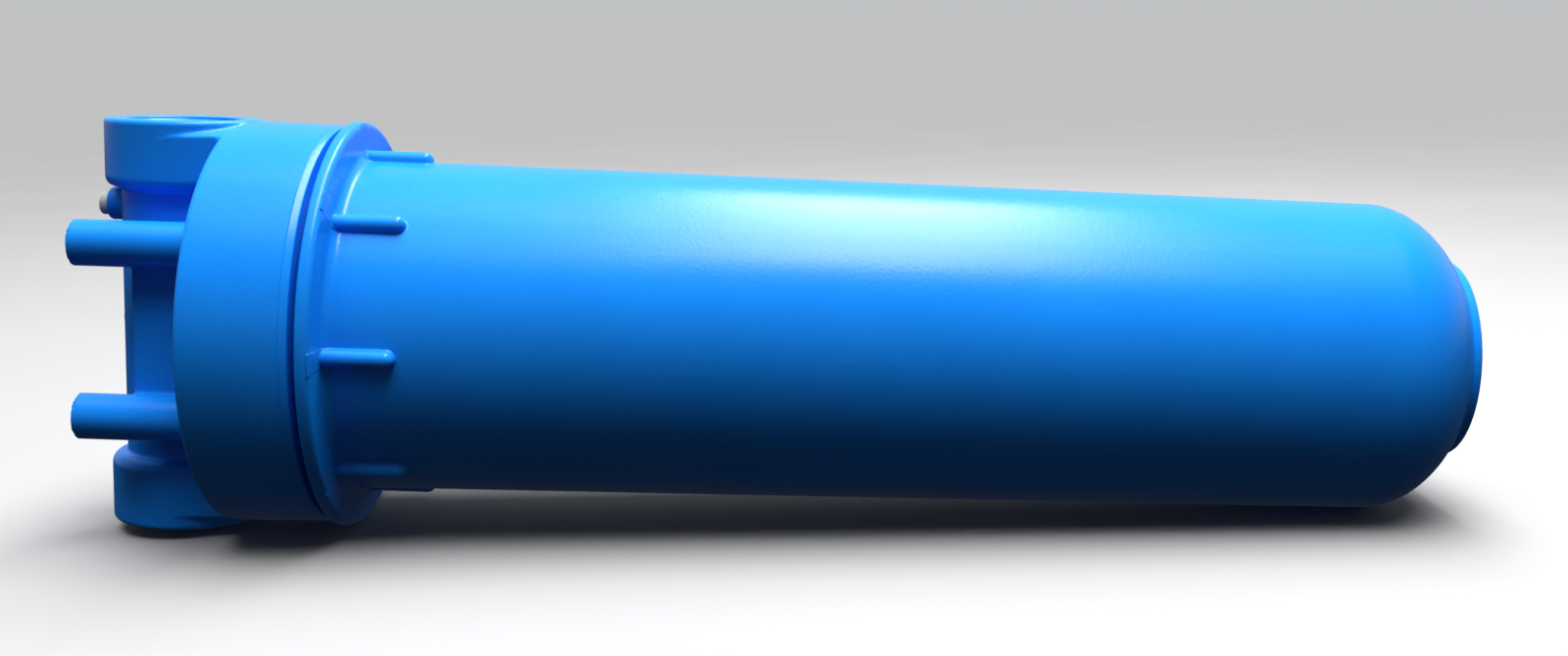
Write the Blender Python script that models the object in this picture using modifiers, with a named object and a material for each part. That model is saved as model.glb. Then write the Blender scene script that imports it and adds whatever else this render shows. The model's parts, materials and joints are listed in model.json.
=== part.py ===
"""Cartridge filter housing, lying on its side with its ports one above the other.

A cap with two pipe ports, four mounting posts and a push-button relief valve closes a long
sump, which screws into it on a coarse right-hand thread and seals on an O-ring. A pleated
cartridge stands inside, between a seat in the cap and a seat on the floor of the sump.

Every piece is built in the housing's own frame, in metres: Z is the axis of the housing, 0 at
the ends of the posts and growing towards the foot, and X is the axis of the ports, with the
inlet at -X. The empty "laid_on_side" then lays the housing down, so that it rests on the flange
and on the end of the sump, with the origin under the middle of its bounding box.
"""
import math

import bmesh
import bpy
from mathutils import Matrix, Vector

MM = 0.001
GAP = 0.3 * MM                      # between pieces that touch
OVERLAP = 1.0 * MM                  # how far a joined shape reaches into its neighbour
EDGE = 0.8 * MM                     # chamfer of plain moulded edges

# Cap
RING_RADIUS = 90.7 * MM
RING_START = 60.5 * MM              # outer face of the cap's end wall
RING_END = 106.7 * MM               # rim
RIM_CHAMFER = (1.8 * MM, 3.0 * MM)  # radial, axial
CEILING = 70.5 * MM                 # inner face of the end wall
SEAL_BORE_RADIUS = 78.0 * MM
SEAL_BORE_END = 85.0 * MM
PORT_AXIS = 33.9 * MM
PORT_RADIUS = 34.3 * MM
PORT_TIP = 91.2 * MM                # from the housing's axis
PORT_SHOULDER = 60.5 * MM
SHOULDER_ROUND = 5.0 * MM
PORT_SADDLE = (32.5 * MM, 84.0 * MM)  # half width; end, from the housing's axis
PIPE_RADIUS = 27.7 * MM
PIPE_CROWN = PORT_AXIS - PIPE_RADIUS  # the pipe's outermost line
PIPE_BORE_RADIUS = 20.0 * MM
SOCKET_MOUTH_RADIUS = 24.1 * MM     # 1 1/2 inch taper pipe thread
SOCKET_DEPTH = 26.0 * MM
SOCKET_TAPER = 1 / 32               # radius per length
INLET_END = -16.0 * MM              # the partition stands between these two
OUTLET_END = -11.0 * MM
INLET_DROP = (-40.0 * MM, 11.0 * MM)  # place and radius of the inlet's way into the sump
POST_RADIUS = 10.1 * MM
POST_PLACE = (38.2 * MM, 41.0 * MM)
POST_HOLE = (3.4 * MM, 25.0 * MM)   # radius, depth
WEB_START = 23.0 * MM
WEB_HALF_WIDTH = 38.0 * MM
GATE_MARK = (3.6 * MM, 1.3 * MM)    # radius, height over the pipe
SPUD_TIP = 79.0 * MM
SPUD_RADII = (12.0 * MM, 15.0 * MM, 17.0 * MM)  # bore, tip, root

# Relief valve, on an axis of its own parallel to the housing's
RELIEF_PLACE = -51.7 * MM
BOSS_RADIUS = 7.35 * MM
BOSS_TIP = -0.5 * MM
BUTTON_TIP = -4.7 * MM
BUTTON_RADIUS = 5.2 * MM
BUTTON_POCKET = (5.7 * MM, 7.0 * MM)  # radius, floor
BUTTON_HEAD_END = 1.5 * MM
STEM_RADIUS = 2.0 * MM
STEM_HOLE_RADIUS = 2.4 * MM
STEM_END = 14.3 * MM
VALVE_SEAT = 12.0 * MM
VALVE_CHAMBER_END = 19.9 * MM         # inside the inlet's bore
SPOT_FACE_RADIUS = 5.6 * MM
RELIEF_SEAL = (3.3 * MM, 1.0 * MM)    # ring radius, section radius
WASHER = (1.2 * MM, 5.0 * MM, 0.8 * MM)  # bore, rim, thickness
SCREW_SHANK = (0.9 * MM, 8.0 * MM)    # radius, where it ends inside the stem
SCREW_HEAD = (3.5 * MM, 2.4 * MM)     # radius, height
SPRING_RADIUS = 3.5 * MM
SPRING_WIRE_RADIUS = 0.25 * MM
SPRING_TURNS = 3.5

# Thread between the cap and the sump
LEAD = 8.0 * MM
THREAD_TURNS = (2.0, 1.5)           # on the sump, in the cap
THREAD_START = 88.0 * MM            # middle of the sump's ridge at its first turn
THREAD_HEIGHT = 3.0 * MM
THREAD_ROOT_WIDTH = 4.6 * MM
THREAD_CREST_WIDTH = 2.6 * MM
NECK_RADIUS = 77.4 * MM
THREAD_BORE_RADIUS = 81.0 * MM

# Sump
SUMP_RIM = 72.0 * MM
SEAL_GROOVE = (76.2 * MM, 81.2 * MM, 73.0 * MM)  # start, end, radius of its floor
SEAL_SECTION_RADIUS = 2.2 * MM
FLANGE_RADIUS = 91.8 * MM
FLANGE_START = 110.3 * MM
FLANGE_FACE = 115.6 * MM
FLANGE_ROUND = 2.6 * MM
FLANGE_FOOT = (117.2 * MM, 80.0 * MM)   # where the fillet to the tube starts
TUBE_START = 123.0 * MM
TUBE_RADIUS = 74.6 * MM
DOME_START = 566.5 * MM
DOME_RADIUS = 68.4 * MM
DOME_DEPTH = 46.0 * MM
FOOT_RADII = (38.0 * MM, 43.5 * MM)
FOOT_FLOOR = 601.5 * MM
FOOT_END = 606.0 * MM
WALL = 5.6 * MM
RIM_BORE_RADIUS = 69.4 * MM
SUMP_FLOOR = 595.5 * MM
LUG_COUNT = 8
LUG_TURN = math.radians(-2.0)           # the first lug, from -Y towards -X
LUG_SPAN = (116.9 * MM, 147.2 * MM)
LUG_WIDTH = 8.0 * MM
LUG_TOP_RADIUS = 79.2 * MM
SEAT_RADII = (13.0 * MM, 17.0 * MM)
FIN_COUNT = 6
FIN_SIZE = (3.0 * MM, 41.0 * MM, 10.0 * MM)  # thickness, reach, height

# Cartridge
CARTRIDGE_START = SPUD_TIP + GAP
CARTRIDGE_END = 581.0 * MM
GASKET_RADII = (13.5 * MM, 23.0 * MM)
GASKET_THICKNESS = 3.0 * MM
END_CAP_RADIUS = 56.5 * MM
END_CAP_THICKNESS = 5.0 * MM
END_CAP_SKIRT = (1.5 * MM, 10.0 * MM)   # thickness, height
CORE_RADIUS = 22.5 * MM
CORE_WALL = 3.0 * MM
PLEAT_COUNT = 48
PLEAT_RADII = (24.5 * MM, 51.6 * MM)
PLEAT_THICKNESS = 1.2 * MM
FOLD_SHIFT = (0.6, 2.2)                 # of an inner and an outer fold, per half thickness
NET_RADIUS = 54.4 * MM
NET_WALL = 0.8 * MM

STEPS = 48                              # around the housing
BORE_STEPS = 32                         # around bores and seats
SMALL_STEPS = 24                        # around the relief valve
TURN = 2 * math.pi


def clear_scene():
    """Remove every object, so the script can be run again in the same file."""
    for scene_object in list(bpy.data.objects):
        bpy.data.objects.remove(scene_object, do_unlink=True)


def new_collection(name):
    """A new collection linked to the scene."""
    collection = bpy.data.collections.new(name)
    bpy.context.scene.collection.children.link(collection)
    return collection


clear_scene()
PARTS = new_collection("cartridge_filter_housing")
TOOLS = new_collection("cutters")


def make_material(name, color, roughness, metallic=0.0):
    """A Principled material with one colour."""
    material = bpy.data.materials.new(name)
    material.use_nodes = True
    shader = material.node_tree.nodes["Principled BSDF"]
    shader.inputs["Base Color"].default_value = (*color, 1.0)
    shader.inputs["Roughness"].default_value = roughness
    shader.inputs["Metallic"].default_value = metallic
    return material


# ---------------------------------------------------------------- shapes

def add_object(name, mesh, collection):
    """An object of a mesh, linked to one collection; cutters are drawn as wires."""
    new_object = bpy.data.objects.new(name, mesh)
    collection.objects.link(new_object)
    if collection is TOOLS:
        new_object.hide_render = True
        new_object.display_type = "WIRE"
    return new_object


def mesh_from(bm, name):
    """Turn a bmesh into a mesh and free it."""
    mesh = bpy.data.meshes.new(name)
    bm.to_mesh(mesh)
    bm.free()
    return mesh


def runs_down_outside(profile):
    """The profile's points in the order that makes the Screw modifier's faces point out."""
    closing = profile[1:] + profile[:1]
    area = sum(a[0] * b[1] - b[0] * a[1] for a, b in zip(profile, closing))
    return profile[::-1] if area > 0 else profile


def turned(name, profile, collection=TOOLS, steps=STEPS):
    """A solid of revolution about Z from (radius, z) points; the ends may lie on the axis."""
    points = runs_down_outside(profile)
    edges = [(i, i + 1) for i in range(len(points) - 1)]
    if points[0][0] > 0 or points[-1][0] > 0:
        edges.append((len(points) - 1, 0))
    mesh = bpy.data.meshes.new(name)
    mesh.from_pydata([(radius, 0, z) for radius, z in points], edges, [])
    solid = add_object(name, mesh, collection)
    screw = solid.modifiers.new("turn", "SCREW")
    screw.steps = screw.render_steps = steps
    screw.use_merge_vertices = True
    screw.merge_threshold = 0.00001
    screw.use_smooth_shade = True
    return solid


def tube_profile(inner, outer, start, end):
    """The rectangular section of a plain ring."""
    return [(inner, start), (outer, start), (outer, end), (inner, end)]


def rod_profile(radius, start, end):
    """The half section of a plain cylinder on the axis."""
    return [(0, start), (radius, start), (radius, end), (0, end)]


def arc(center, radii, first, last, count):
    """Points on an ellipse about (radius, z); angles from the radial direction towards +z."""
    angles = [first + (last - first) * i / count for i in range(count + 1)]
    return [(center[0] + radii[0] * math.cos(a), center[1] + radii[1] * math.sin(a)) for a in angles]


def block(name, low, high, collection=TOOLS):
    """A box between two corners."""
    bm = bmesh.new()
    bmesh.ops.create_cube(bm, size=1)
    size = Vector(high) - Vector(low)
    bmesh.ops.scale(bm, vec=size, verts=bm.verts)
    bmesh.ops.translate(bm, vec=(Vector(low) + Vector(high)) / 2, verts=bm.verts)
    return add_object(name, mesh_from(bm, name), collection)


def thread_ridge(name, root_radius, crest_radius, start, turns):
    """A right-hand helical ridge with a trapezoid section, from its root to its crest."""
    direction = math.copysign(1, crest_radius - root_radius)
    sunk = root_radius - direction * OVERLAP
    slope = (THREAD_ROOT_WIDTH - THREAD_CREST_WIDTH) / 2 / THREAD_HEIGHT
    root = THREAD_ROOT_WIDTH / 2 + slope * OVERLAP
    crest = THREAD_CREST_WIDTH / 2
    section = [(sunk, -root), (crest_radius, -crest), (crest_radius, crest), (sunk, root)]
    bm = bmesh.new()
    corners = [bm.verts.new((radius, 0, start + z)) for radius, z in section]
    face = bm.faces.new(corners)
    steps = round(STEPS * turns)
    bmesh.ops.spin(bm, geom=[face, *face.verts, *face.edges], cent=(0, 0, 0), axis=(0, 0, 1),
                   dvec=(0, 0, LEAD / STEPS), angle=TURN * turns, steps=steps)
    bmesh.ops.recalc_face_normals(bm, faces=bm.faces)
    return add_object(name, mesh_from(bm, name), TOOLS)


def mesh_of_curve(curve_object, collection):
    """A welded mesh object in place of a curve object."""
    evaluated = curve_object.evaluated_get(bpy.context.evaluated_depsgraph_get())
    mesh = bpy.data.meshes.new_from_object(evaluated)
    bm = bmesh.new()
    bm.from_mesh(mesh)
    bmesh.ops.remove_doubles(bm, verts=bm.verts, dist=0.00001)
    bm.to_mesh(mesh)
    bm.free()
    name = curve_object.name
    place = curve_object.matrix_world.copy()
    bpy.data.objects.remove(curve_object)
    solid = add_object(name, mesh, collection)
    solid.matrix_world = place
    return solid


def curve_object(name, splines, dimensions, cyclic):
    """A curve of straight pieces through lists of points."""
    curve = bpy.data.curves.new(name, "CURVE")
    curve.dimensions = dimensions
    for points in splines:
        spline = curve.splines.new("POLY")
        spline.points.add(len(points) - 1)
        for spline_point, point in zip(spline.points, points):
            spline_point.co = (*point, 1.0)
        spline.use_cyclic_u = cyclic
    wire = bpy.data.objects.new(name, curve)
    bpy.context.scene.collection.objects.link(wire)
    bpy.context.view_layer.update()
    return wire


def boolean(solid, tool, operation):
    """Add one exact boolean to a solid's modifiers."""
    modifier = solid.modifiers.new(f"{operation.lower()}_{tool.name}", "BOOLEAN")
    modifier.operation = operation
    modifier.object = tool
    modifier.solver = "EXACT"


def finish_part(solid, material):
    """Give a part its material and smooth round faces."""
    solid.data.materials.append(material)
    if solid.data.polygons:
        solid.data.shade_smooth()
        solid.data.set_sharp_from_angle(angle=math.radians(30))
    return solid


# ---------------------------------------------------------------- cap

def cap_shell():
    """The ring, its end wall, the thread and seal bores and the spud, in one turning."""
    chamfer_depth, chamfer_length = RIM_CHAMFER
    profile = [
        (0, RING_START), (RING_RADIUS - EDGE, RING_START), (RING_RADIUS, RING_START + EDGE),
        (RING_RADIUS, RING_END - chamfer_length), (RING_RADIUS - chamfer_depth, RING_END),
        (THREAD_BORE_RADIUS, RING_END), (THREAD_BORE_RADIUS, SEAL_BORE_END + OVERLAP),
        (SEAL_BORE_RADIUS, SEAL_BORE_END), (SEAL_BORE_RADIUS, CEILING),
        (SPUD_RADII[2], CEILING), (SPUD_RADII[1], SPUD_TIP), (0, SPUD_TIP),
    ]
    return turned("cap", profile, PARTS)


def along_ports(solid):
    """Swing a solid built about Z onto the axis of the ports, with its +Z end at +X."""
    solid.matrix_world = Matrix.Translation((0, 0, PORT_AXIS)) @ Matrix.Rotation(TURN / 4, 4, "Y")
    return solid


def port_barrel():
    """The pipe between the ports, with the wider rounded ports at its ends."""
    half = [(PIPE_RADIUS, PORT_SHOULDER - 2 * MM)]
    half += arc((PORT_RADIUS - SHOULDER_ROUND, PORT_SHOULDER + SHOULDER_ROUND),
                (SHOULDER_ROUND, SHOULDER_ROUND), -TURN / 4, 0, 3)
    half += [(PORT_RADIUS, PORT_TIP - OVERLAP), (PORT_RADIUS - OVERLAP, PORT_TIP), (0, PORT_TIP)]
    mirrored = [(radius, -z) for radius, z in reversed(half)]
    return along_ports(turned("port_barrel", mirrored + half))


def port_bore(name, end, side):
    """The taper socket and the plain bore behind it, as far as the partition."""
    socket_floor = PORT_TIP - SOCKET_DEPTH
    floor_radius = SOCKET_MOUTH_RADIUS - SOCKET_DEPTH * SOCKET_TAPER
    profile = [
        (0, PORT_TIP + OVERLAP), (SOCKET_MOUTH_RADIUS + OVERLAP * SOCKET_TAPER, PORT_TIP + OVERLAP),
        (floor_radius, socket_floor), (PIPE_BORE_RADIUS, socket_floor),
        (PIPE_BORE_RADIUS, side * end), (0, side * end),
    ]
    facing = [(radius, side * z) for radius, z in profile]
    return along_ports(turned(name, facing, steps=BORE_STEPS))


def relief_passage():
    """The button's pocket, the stem's hole and the spot face that the seal closes on."""
    pocket_radius, pocket_floor = BUTTON_POCKET
    profile = [
        (0, BOSS_TIP - OVERLAP), (pocket_radius, BOSS_TIP - OVERLAP), (pocket_radius, pocket_floor),
        (STEM_HOLE_RADIUS, pocket_floor), (STEM_HOLE_RADIUS, VALVE_SEAT),
        (SPOT_FACE_RADIUS, VALVE_SEAT), (SPOT_FACE_RADIUS, VALVE_CHAMBER_END),
        (0, VALVE_CHAMBER_END),
    ]
    passage = turned("relief_passage", profile, steps=SMALL_STEPS)
    passage.location.x = RELIEF_PLACE
    passage.rotation_euler.z = TURN / SMALL_STEPS / 4
    return passage


def relief_boss():
    """The round-ended boss that the button sits in."""
    rounding = 2 * EDGE
    profile = [(0, BOSS_TIP)]
    profile += arc((BOSS_RADIUS - rounding, BOSS_TIP + rounding), (rounding, rounding), -TURN / 4, 0, 3)
    profile += [(BOSS_RADIUS, VALVE_SEAT), (0, VALVE_SEAT)]
    boss = turned("relief_boss", profile, steps=SMALL_STEPS)
    boss.location.x = RELIEF_PLACE
    return boss


def port_saddles():
    """Straight walls from the widest lines of the two ports to the end wall."""
    half_width, end = PORT_SADDLE
    start = PORT_SHOULDER + SHOULDER_ROUND / 2
    spans = {"inlet_saddle": (-end, -start), "outlet_saddle": (start, end)}
    return [block(name, (low, -half_width, PORT_AXIS), (high, half_width, RING_START + OVERLAP))
            for name, (low, high) in spans.items()]


def post_places():
    """Centres of the four posts."""
    return [(sx * POST_PLACE[0], sy * POST_PLACE[1]) for sx in (-1, 1) for sy in (-1, 1)]


def cap():
    """The cap: everything outside joined first, then the ways through it, then seat and thread."""
    body = cap_shell()
    sunk = RING_START + OVERLAP
    half_pipe = PORT_SHOULDER + OVERLAP
    saddle = PIPE_RADIUS - GAP
    web_x, web_y = POST_PLACE[0], WEB_HALF_WIDTH
    joined = [
        port_barrel(),
        block("pipe_saddle", (-half_pipe, -saddle, PORT_AXIS), (half_pipe, saddle, sunk)),
        block("post_webs", (-web_x, -web_y, WEB_START), (web_x, web_y, sunk)),
        relief_boss(),
        *port_saddles(),
    ]
    gate_radius, gate_height = GATE_MARK
    gate_profile = rod_profile(gate_radius, PIPE_CROWN - gate_height, PIPE_CROWN + OVERLAP)
    joined.append(turned("gate_mark", gate_profile, steps=16))
    for number, (x, y) in enumerate(post_places(), 1):
        post = turned(f"post_{number}", rod_profile(POST_RADIUS, 0, sunk), steps=20)
        post.location = (x, y, 0)
        joined.append(post)
    for tool in joined:
        boolean(body, tool, "UNION")

    drop_place, drop_radius = INLET_DROP
    drop_profile = rod_profile(drop_radius, PORT_AXIS, CEILING + OVERLAP)
    drop = turned("inlet_drop", drop_profile, steps=SMALL_STEPS)
    drop.location.x = drop_place
    rise_profile = rod_profile(SPUD_RADII[0], PORT_AXIS, SPUD_TIP + OVERLAP)
    rise = turned("outlet_rise", rise_profile, steps=BORE_STEPS)
    rise.rotation_euler.z = TURN / STEPS / 4
    cuts = [
        port_bore("inlet_bore", INLET_END, -1), port_bore("outlet_bore", OUTLET_END, 1),
        drop, rise, relief_passage(),
    ]
    hole_radius, hole_depth = POST_HOLE
    for number, (x, y) in enumerate(post_places(), 1):
        hole = turned(f"post_hole_{number}", rod_profile(hole_radius, -OVERLAP, hole_depth), steps=12)
        hole.location = (x, y, 0)
        cuts.append(hole)
    for tool in cuts:
        boolean(body, tool, "DIFFERENCE")

    crest_radius = THREAD_BORE_RADIUS - THREAD_HEIGHT
    ridge = thread_ridge("cap_thread", THREAD_BORE_RADIUS, crest_radius, THREAD_START + LEAD / 2,
                         THREAD_TURNS[1])
    boolean(body, ridge, "UNION")
    return body


# ---------------------------------------------------------------- seals

def o_ring(name, radii, height, steps):
    """A rubber ring about Z: its radii are those of the ring and of its section."""
    ring_radius, section_radius = radii
    bpy.ops.mesh.primitive_torus_add(major_radius=ring_radius, minor_radius=section_radius,
                                     major_segments=steps, minor_segments=8, location=(0, 0, height))
    ring = bpy.context.object
    ring.name = name
    for collection in list(ring.users_collection):
        collection.objects.unlink(ring)
    PARTS.objects.link(ring)
    return ring


def housing_seal():
    """The O-ring in the groove of the sump's neck."""
    groove_start, groove_end, groove_radius = SEAL_GROOVE
    radii = (groove_radius + GAP + SEAL_SECTION_RADIUS, SEAL_SECTION_RADIUS)
    return o_ring("housing_o_ring", radii, (groove_start + groove_end) / 2, STEPS)


# ---------------------------------------------------------------- relief valve

def relief_pieces():
    """Button, spring, seal, washer and screw, each about the valve's own axis."""
    shank_radius, shank_end = SCREW_SHANK
    bore = shank_radius + GAP
    button_profile = [
        (0, BUTTON_TIP), (BUTTON_RADIUS - EDGE, BUTTON_TIP), (BUTTON_RADIUS, BUTTON_TIP + EDGE),
        (BUTTON_RADIUS, BUTTON_HEAD_END), (STEM_RADIUS, BUTTON_HEAD_END), (STEM_RADIUS, STEM_END),
        (bore, STEM_END), (bore, shank_end - GAP), (0, shank_end - GAP),
    ]
    button = turned("relief_button", button_profile, PARTS, steps=SMALL_STEPS)

    washer_bore, washer_rim, washer_thickness = WASHER
    washer_start = STEM_END + GAP
    washer_end = washer_start + washer_thickness
    washer_profile = tube_profile(washer_bore, washer_rim, washer_start, washer_end)
    washer = turned("relief_washer", washer_profile, PARTS, steps=SMALL_STEPS)

    head_radius, head_height = SCREW_HEAD
    head_start = washer_end + GAP
    head_end = head_start + head_height
    screw_profile = [
        (0, shank_end), (shank_radius, shank_end), (shank_radius, head_start),
        (head_radius, head_start), (head_radius, head_end), (0, head_end),
    ]
    screw = turned("relief_screw", screw_profile, PARTS, steps=SMALL_STEPS)

    seal_height = VALVE_SEAT + GAP + RELIEF_SEAL[1]
    seal = o_ring("relief_o_ring", RELIEF_SEAL, seal_height, SMALL_STEPS)
    return [button, relief_spring(), seal, washer, screw]


def relief_spring():
    """The coil between the button's head and the floor of its pocket."""
    start = BUTTON_HEAD_END + GAP + SPRING_WIRE_RADIUS
    end = BUTTON_POCKET[1] - GAP - SPRING_WIRE_RADIUS
    count = round(SPRING_TURNS * 12)
    coil = []
    for i in range(count + 1):
        angle = TURN * SPRING_TURNS * i / count
        height = start + (end - start) * i / count
        coil.append((SPRING_RADIUS * math.cos(angle), SPRING_RADIUS * math.sin(angle), height))
    wire = curve_object("relief_spring", [coil], "3D", cyclic=False)
    wire.data.bevel_depth = SPRING_WIRE_RADIUS
    wire.data.bevel_resolution = 1
    wire.data.use_fill_caps = True
    return mesh_of_curve(wire, PARTS)


# ---------------------------------------------------------------- sump

def tube_radius(z):
    """Outer radius of the tapered tube."""
    share = (z - TUBE_START) / (DOME_START - TUBE_START)
    return TUBE_RADIUS + (DOME_RADIUS - TUBE_RADIUS) * share


def sump_shell():
    """Neck, flange, tapered tube, domed end and foot ring in one turning."""
    groove_start, groove_end, groove_radius = SEAL_GROOVE
    foot_inner, foot_outer = FOOT_RADII
    foot_angle = math.acos(foot_outer / DOME_RADIUS)
    outside = [
        (RIM_BORE_RADIUS, SUMP_RIM), (NECK_RADIUS - MM, SUMP_RIM), (NECK_RADIUS, SUMP_RIM + MM),
        (NECK_RADIUS, groove_start), (groove_radius, groove_start),
        (groove_radius, groove_end), (NECK_RADIUS, groove_end),
        (NECK_RADIUS, FLANGE_START), (FLANGE_RADIUS, FLANGE_START),
        *arc((FLANGE_RADIUS - FLANGE_ROUND, FLANGE_FACE - FLANGE_ROUND),
             (FLANGE_ROUND, FLANGE_ROUND), 0, TURN / 5, 3),
        (FLANGE_FOOT[1], FLANGE_FOOT[0]),
        (TUBE_RADIUS + 1.5 * MM, (FLANGE_FOOT[0] + TUBE_START) / 2), (TUBE_RADIUS, TUBE_START),
        *arc((0, DOME_START), (DOME_RADIUS, DOME_DEPTH), 0, foot_angle, 7),
        (foot_outer, FOOT_END), (foot_inner, FOOT_END), (foot_inner, FOOT_FLOOR), (0, FOOT_FLOOR),
    ]
    bore_radii = (DOME_RADIUS - WALL, DOME_DEPTH - WALL)
    floor_angle = math.asin((SUMP_FLOOR - DOME_START) / bore_radii[1])
    inside = [
        (0, SUMP_FLOOR), *reversed(arc((0, DOME_START), bore_radii, 0, floor_angle, 4)),
        (TUBE_RADIUS - WALL, TUBE_START),
    ]
    return turned("sump", outside + inside, PARTS)


def lugs():
    """The wrench lugs around the tube below the flange: bars with round ends."""
    bm = bmesh.new()
    straight = (LUG_SPAN[1] - LUG_SPAN[0] - LUG_WIDTH) / 2
    middle = (LUG_SPAN[0] + LUG_SPAN[1]) / 2
    root_radius = TUBE_RADIUS - 3 * MM
    for number in range(LUG_COUNT):
        bar = bmesh.ops.create_cone(bm, cap_ends=True, segments=16, radius1=LUG_WIDTH / 2,
                                    radius2=LUG_WIDTH / 2, depth=LUG_TOP_RADIUS - root_radius,
                                    matrix=Matrix.Rotation(TURN / 32, 4, "Z"))["verts"]
        for vert in bar:
            vert.co.x += math.copysign(straight, vert.co.x)
        upright = Matrix.Rotation(TURN / 4, 4, "Y")
        reach = Matrix.Translation(((LUG_TOP_RADIUS + root_radius) / 2, 0, middle))
        turn = Matrix.Rotation(-TURN / 4 - LUG_TURN + TURN * number / LUG_COUNT, 4, "Z")
        bmesh.ops.transform(bm, matrix=turn @ reach @ upright, verts=bar)
    return add_object("lugs", mesh_from(bm, "lugs"), TOOLS)


def sump():
    """The sump with its thread, lugs, and the seat and fins that hold the cartridge."""
    body = sump_shell()
    ridge = thread_ridge("sump_thread", NECK_RADIUS, NECK_RADIUS + THREAD_HEIGHT, THREAD_START,
                         THREAD_TURNS[0])
    boolean(body, ridge, "UNION")
    boolean(body, lugs(), "UNION")
    sunk_floor = SUMP_FLOOR + OVERLAP
    for number in range(FIN_COUNT // 2):
        thickness, reach, height = FIN_SIZE
        fin = block(f"floor_fin_{number + 1}", (-reach, -thickness / 2, SUMP_FLOOR - height),
                    (reach, thickness / 2, sunk_floor))
        fin.rotation_euler.z = TURN * (number + 0.25) / FIN_COUNT
        boolean(body, fin, "UNION")
    seat_top = CARTRIDGE_END + GAP
    well_radius, seat_radius = SEAT_RADII
    seat = turned("seat", rod_profile(seat_radius, seat_top, sunk_floor), steps=BORE_STEPS)
    boolean(body, seat, "UNION")
    well_profile = rod_profile(well_radius, seat_top - OVERLAP, SUMP_FLOOR)
    boolean(body, turned("seat_well", well_profile, steps=BORE_STEPS), "DIFFERENCE")
    return body


# ---------------------------------------------------------------- cartridge

def mirrored(profile):
    """The same section at the other end of the cartridge."""
    return [(radius, CARTRIDGE_START + CARTRIDGE_END - z) for radius, z in profile]


def lattice_tube(name, radius, wall, ends, windows, rows, columns, band):
    """A thin tube with rows of rectangular windows, as one shell given a thickness."""
    start, end = ends
    rise = (end - start - band) / rows
    levels = [start + rise * (row // 2) + (band if row % 2 else 0) for row in range(2 * rows + 2)]
    bm = bmesh.new()
    bmesh.ops.create_cone(bm, cap_ends=False, segments=columns, radius1=radius, radius2=radius, depth=1,
                          matrix=Matrix.Translation((0, 0, 0.5)))
    uprights = [edge for edge in bm.edges if abs(edge.verts[0].co.z - edge.verts[1].co.z) > 0.5]
    bmesh.ops.subdivide_edges(bm, edges=uprights, cuts=len(levels) - 2, use_grid_fill=True)
    for vert in bm.verts:
        vert.co.z = levels[round(vert.co.z * (len(levels) - 1))]
    per_window = columns // windows
    open_faces = []
    for face in bm.faces:
        middle = face.calc_center_median()
        column = int((math.atan2(middle.y, middle.x) % TURN) / TURN * columns)
        between_bands = any(abs(middle.z - (levels[i] + levels[i + 1]) / 2) < band / 4
                            for i in range(1, len(levels) - 2, 2))
        if between_bands and column % per_window:
            open_faces.append(face)
    bmesh.ops.delete(bm, geom=open_faces, context="FACES")
    tube = add_object(name, mesh_from(bm, name), PARTS)
    solidify = tube.modifiers.new("wall", "SOLIDIFY")
    solidify.thickness = wall
    solidify.offset = -1
    return tube


def pleats(ends):
    """The folded media: a star-shaped band of even thickness, extruded along the cartridge."""
    start, end = ends
    inner, outer = PLEAT_RADII
    half = PLEAT_THICKNESS / 2
    outlines = []
    for shift in (half, -half):
        outline = []
        for i in range(2 * PLEAT_COUNT):
            angle = TURN * i / (2 * PLEAT_COUNT)
            radius = (outer - half if i % 2 else inner + half) + shift * FOLD_SHIFT[i % 2]
            outline.append((radius * math.cos(angle), radius * math.sin(angle), 0))
        outlines.append(outline)
    band = curve_object("cartridge_media", outlines, "2D", cyclic=True)
    band.data.fill_mode = "BOTH"
    band.data.extrude = (end - start) / 2
    band.location.z = (start + end) / 2
    bpy.context.view_layer.update()
    return mesh_of_curve(band, PARTS)


def cartridge():
    """Core, media, net, end caps and gaskets."""
    gasket_bore, gasket_rim = GASKET_RADII
    cap_start = CARTRIDGE_START + GASKET_THICKNESS + GAP
    cap_end = cap_start + END_CAP_THICKNESS
    skirt, skirt_height = END_CAP_SKIRT
    skirt_end = cap_end + skirt_height
    gasket_profile = tube_profile(gasket_bore, gasket_rim, CARTRIDGE_START,
                                  CARTRIDGE_START + GASKET_THICKNESS)
    cap_profile = [
        (gasket_bore, cap_start), (END_CAP_RADIUS, cap_start), (END_CAP_RADIUS, skirt_end),
        (END_CAP_RADIUS - skirt, skirt_end), (END_CAP_RADIUS - skirt, cap_end),
        (gasket_bore, cap_end),
    ]
    inner_end = CARTRIDGE_START + CARTRIDGE_END
    inside = (cap_end + GAP, inner_end - cap_end - GAP)
    return {
        "rubber": [turned("cartridge_gasket_upper", gasket_profile, PARTS, steps=BORE_STEPS),
                   turned("cartridge_gasket_lower", mirrored(gasket_profile), PARTS, steps=BORE_STEPS)],
        "end_cap": [turned("cartridge_end_cap_upper", cap_profile, PARTS, steps=40),
                    turned("cartridge_end_cap_lower", mirrored(cap_profile), PARTS, steps=40)],
        "core": [lattice_tube("cartridge_core", CORE_RADIUS, CORE_WALL, inside, windows=4, rows=6,
                              columns=16, band=12 * MM)],
        "media": [pleats(inside)],
        "net": [lattice_tube("cartridge_net", NET_RADIUS, NET_WALL, inside, windows=6, rows=5,
                             columns=24, band=14 * MM)],
    }


# ---------------------------------------------------------------- assembly

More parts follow.
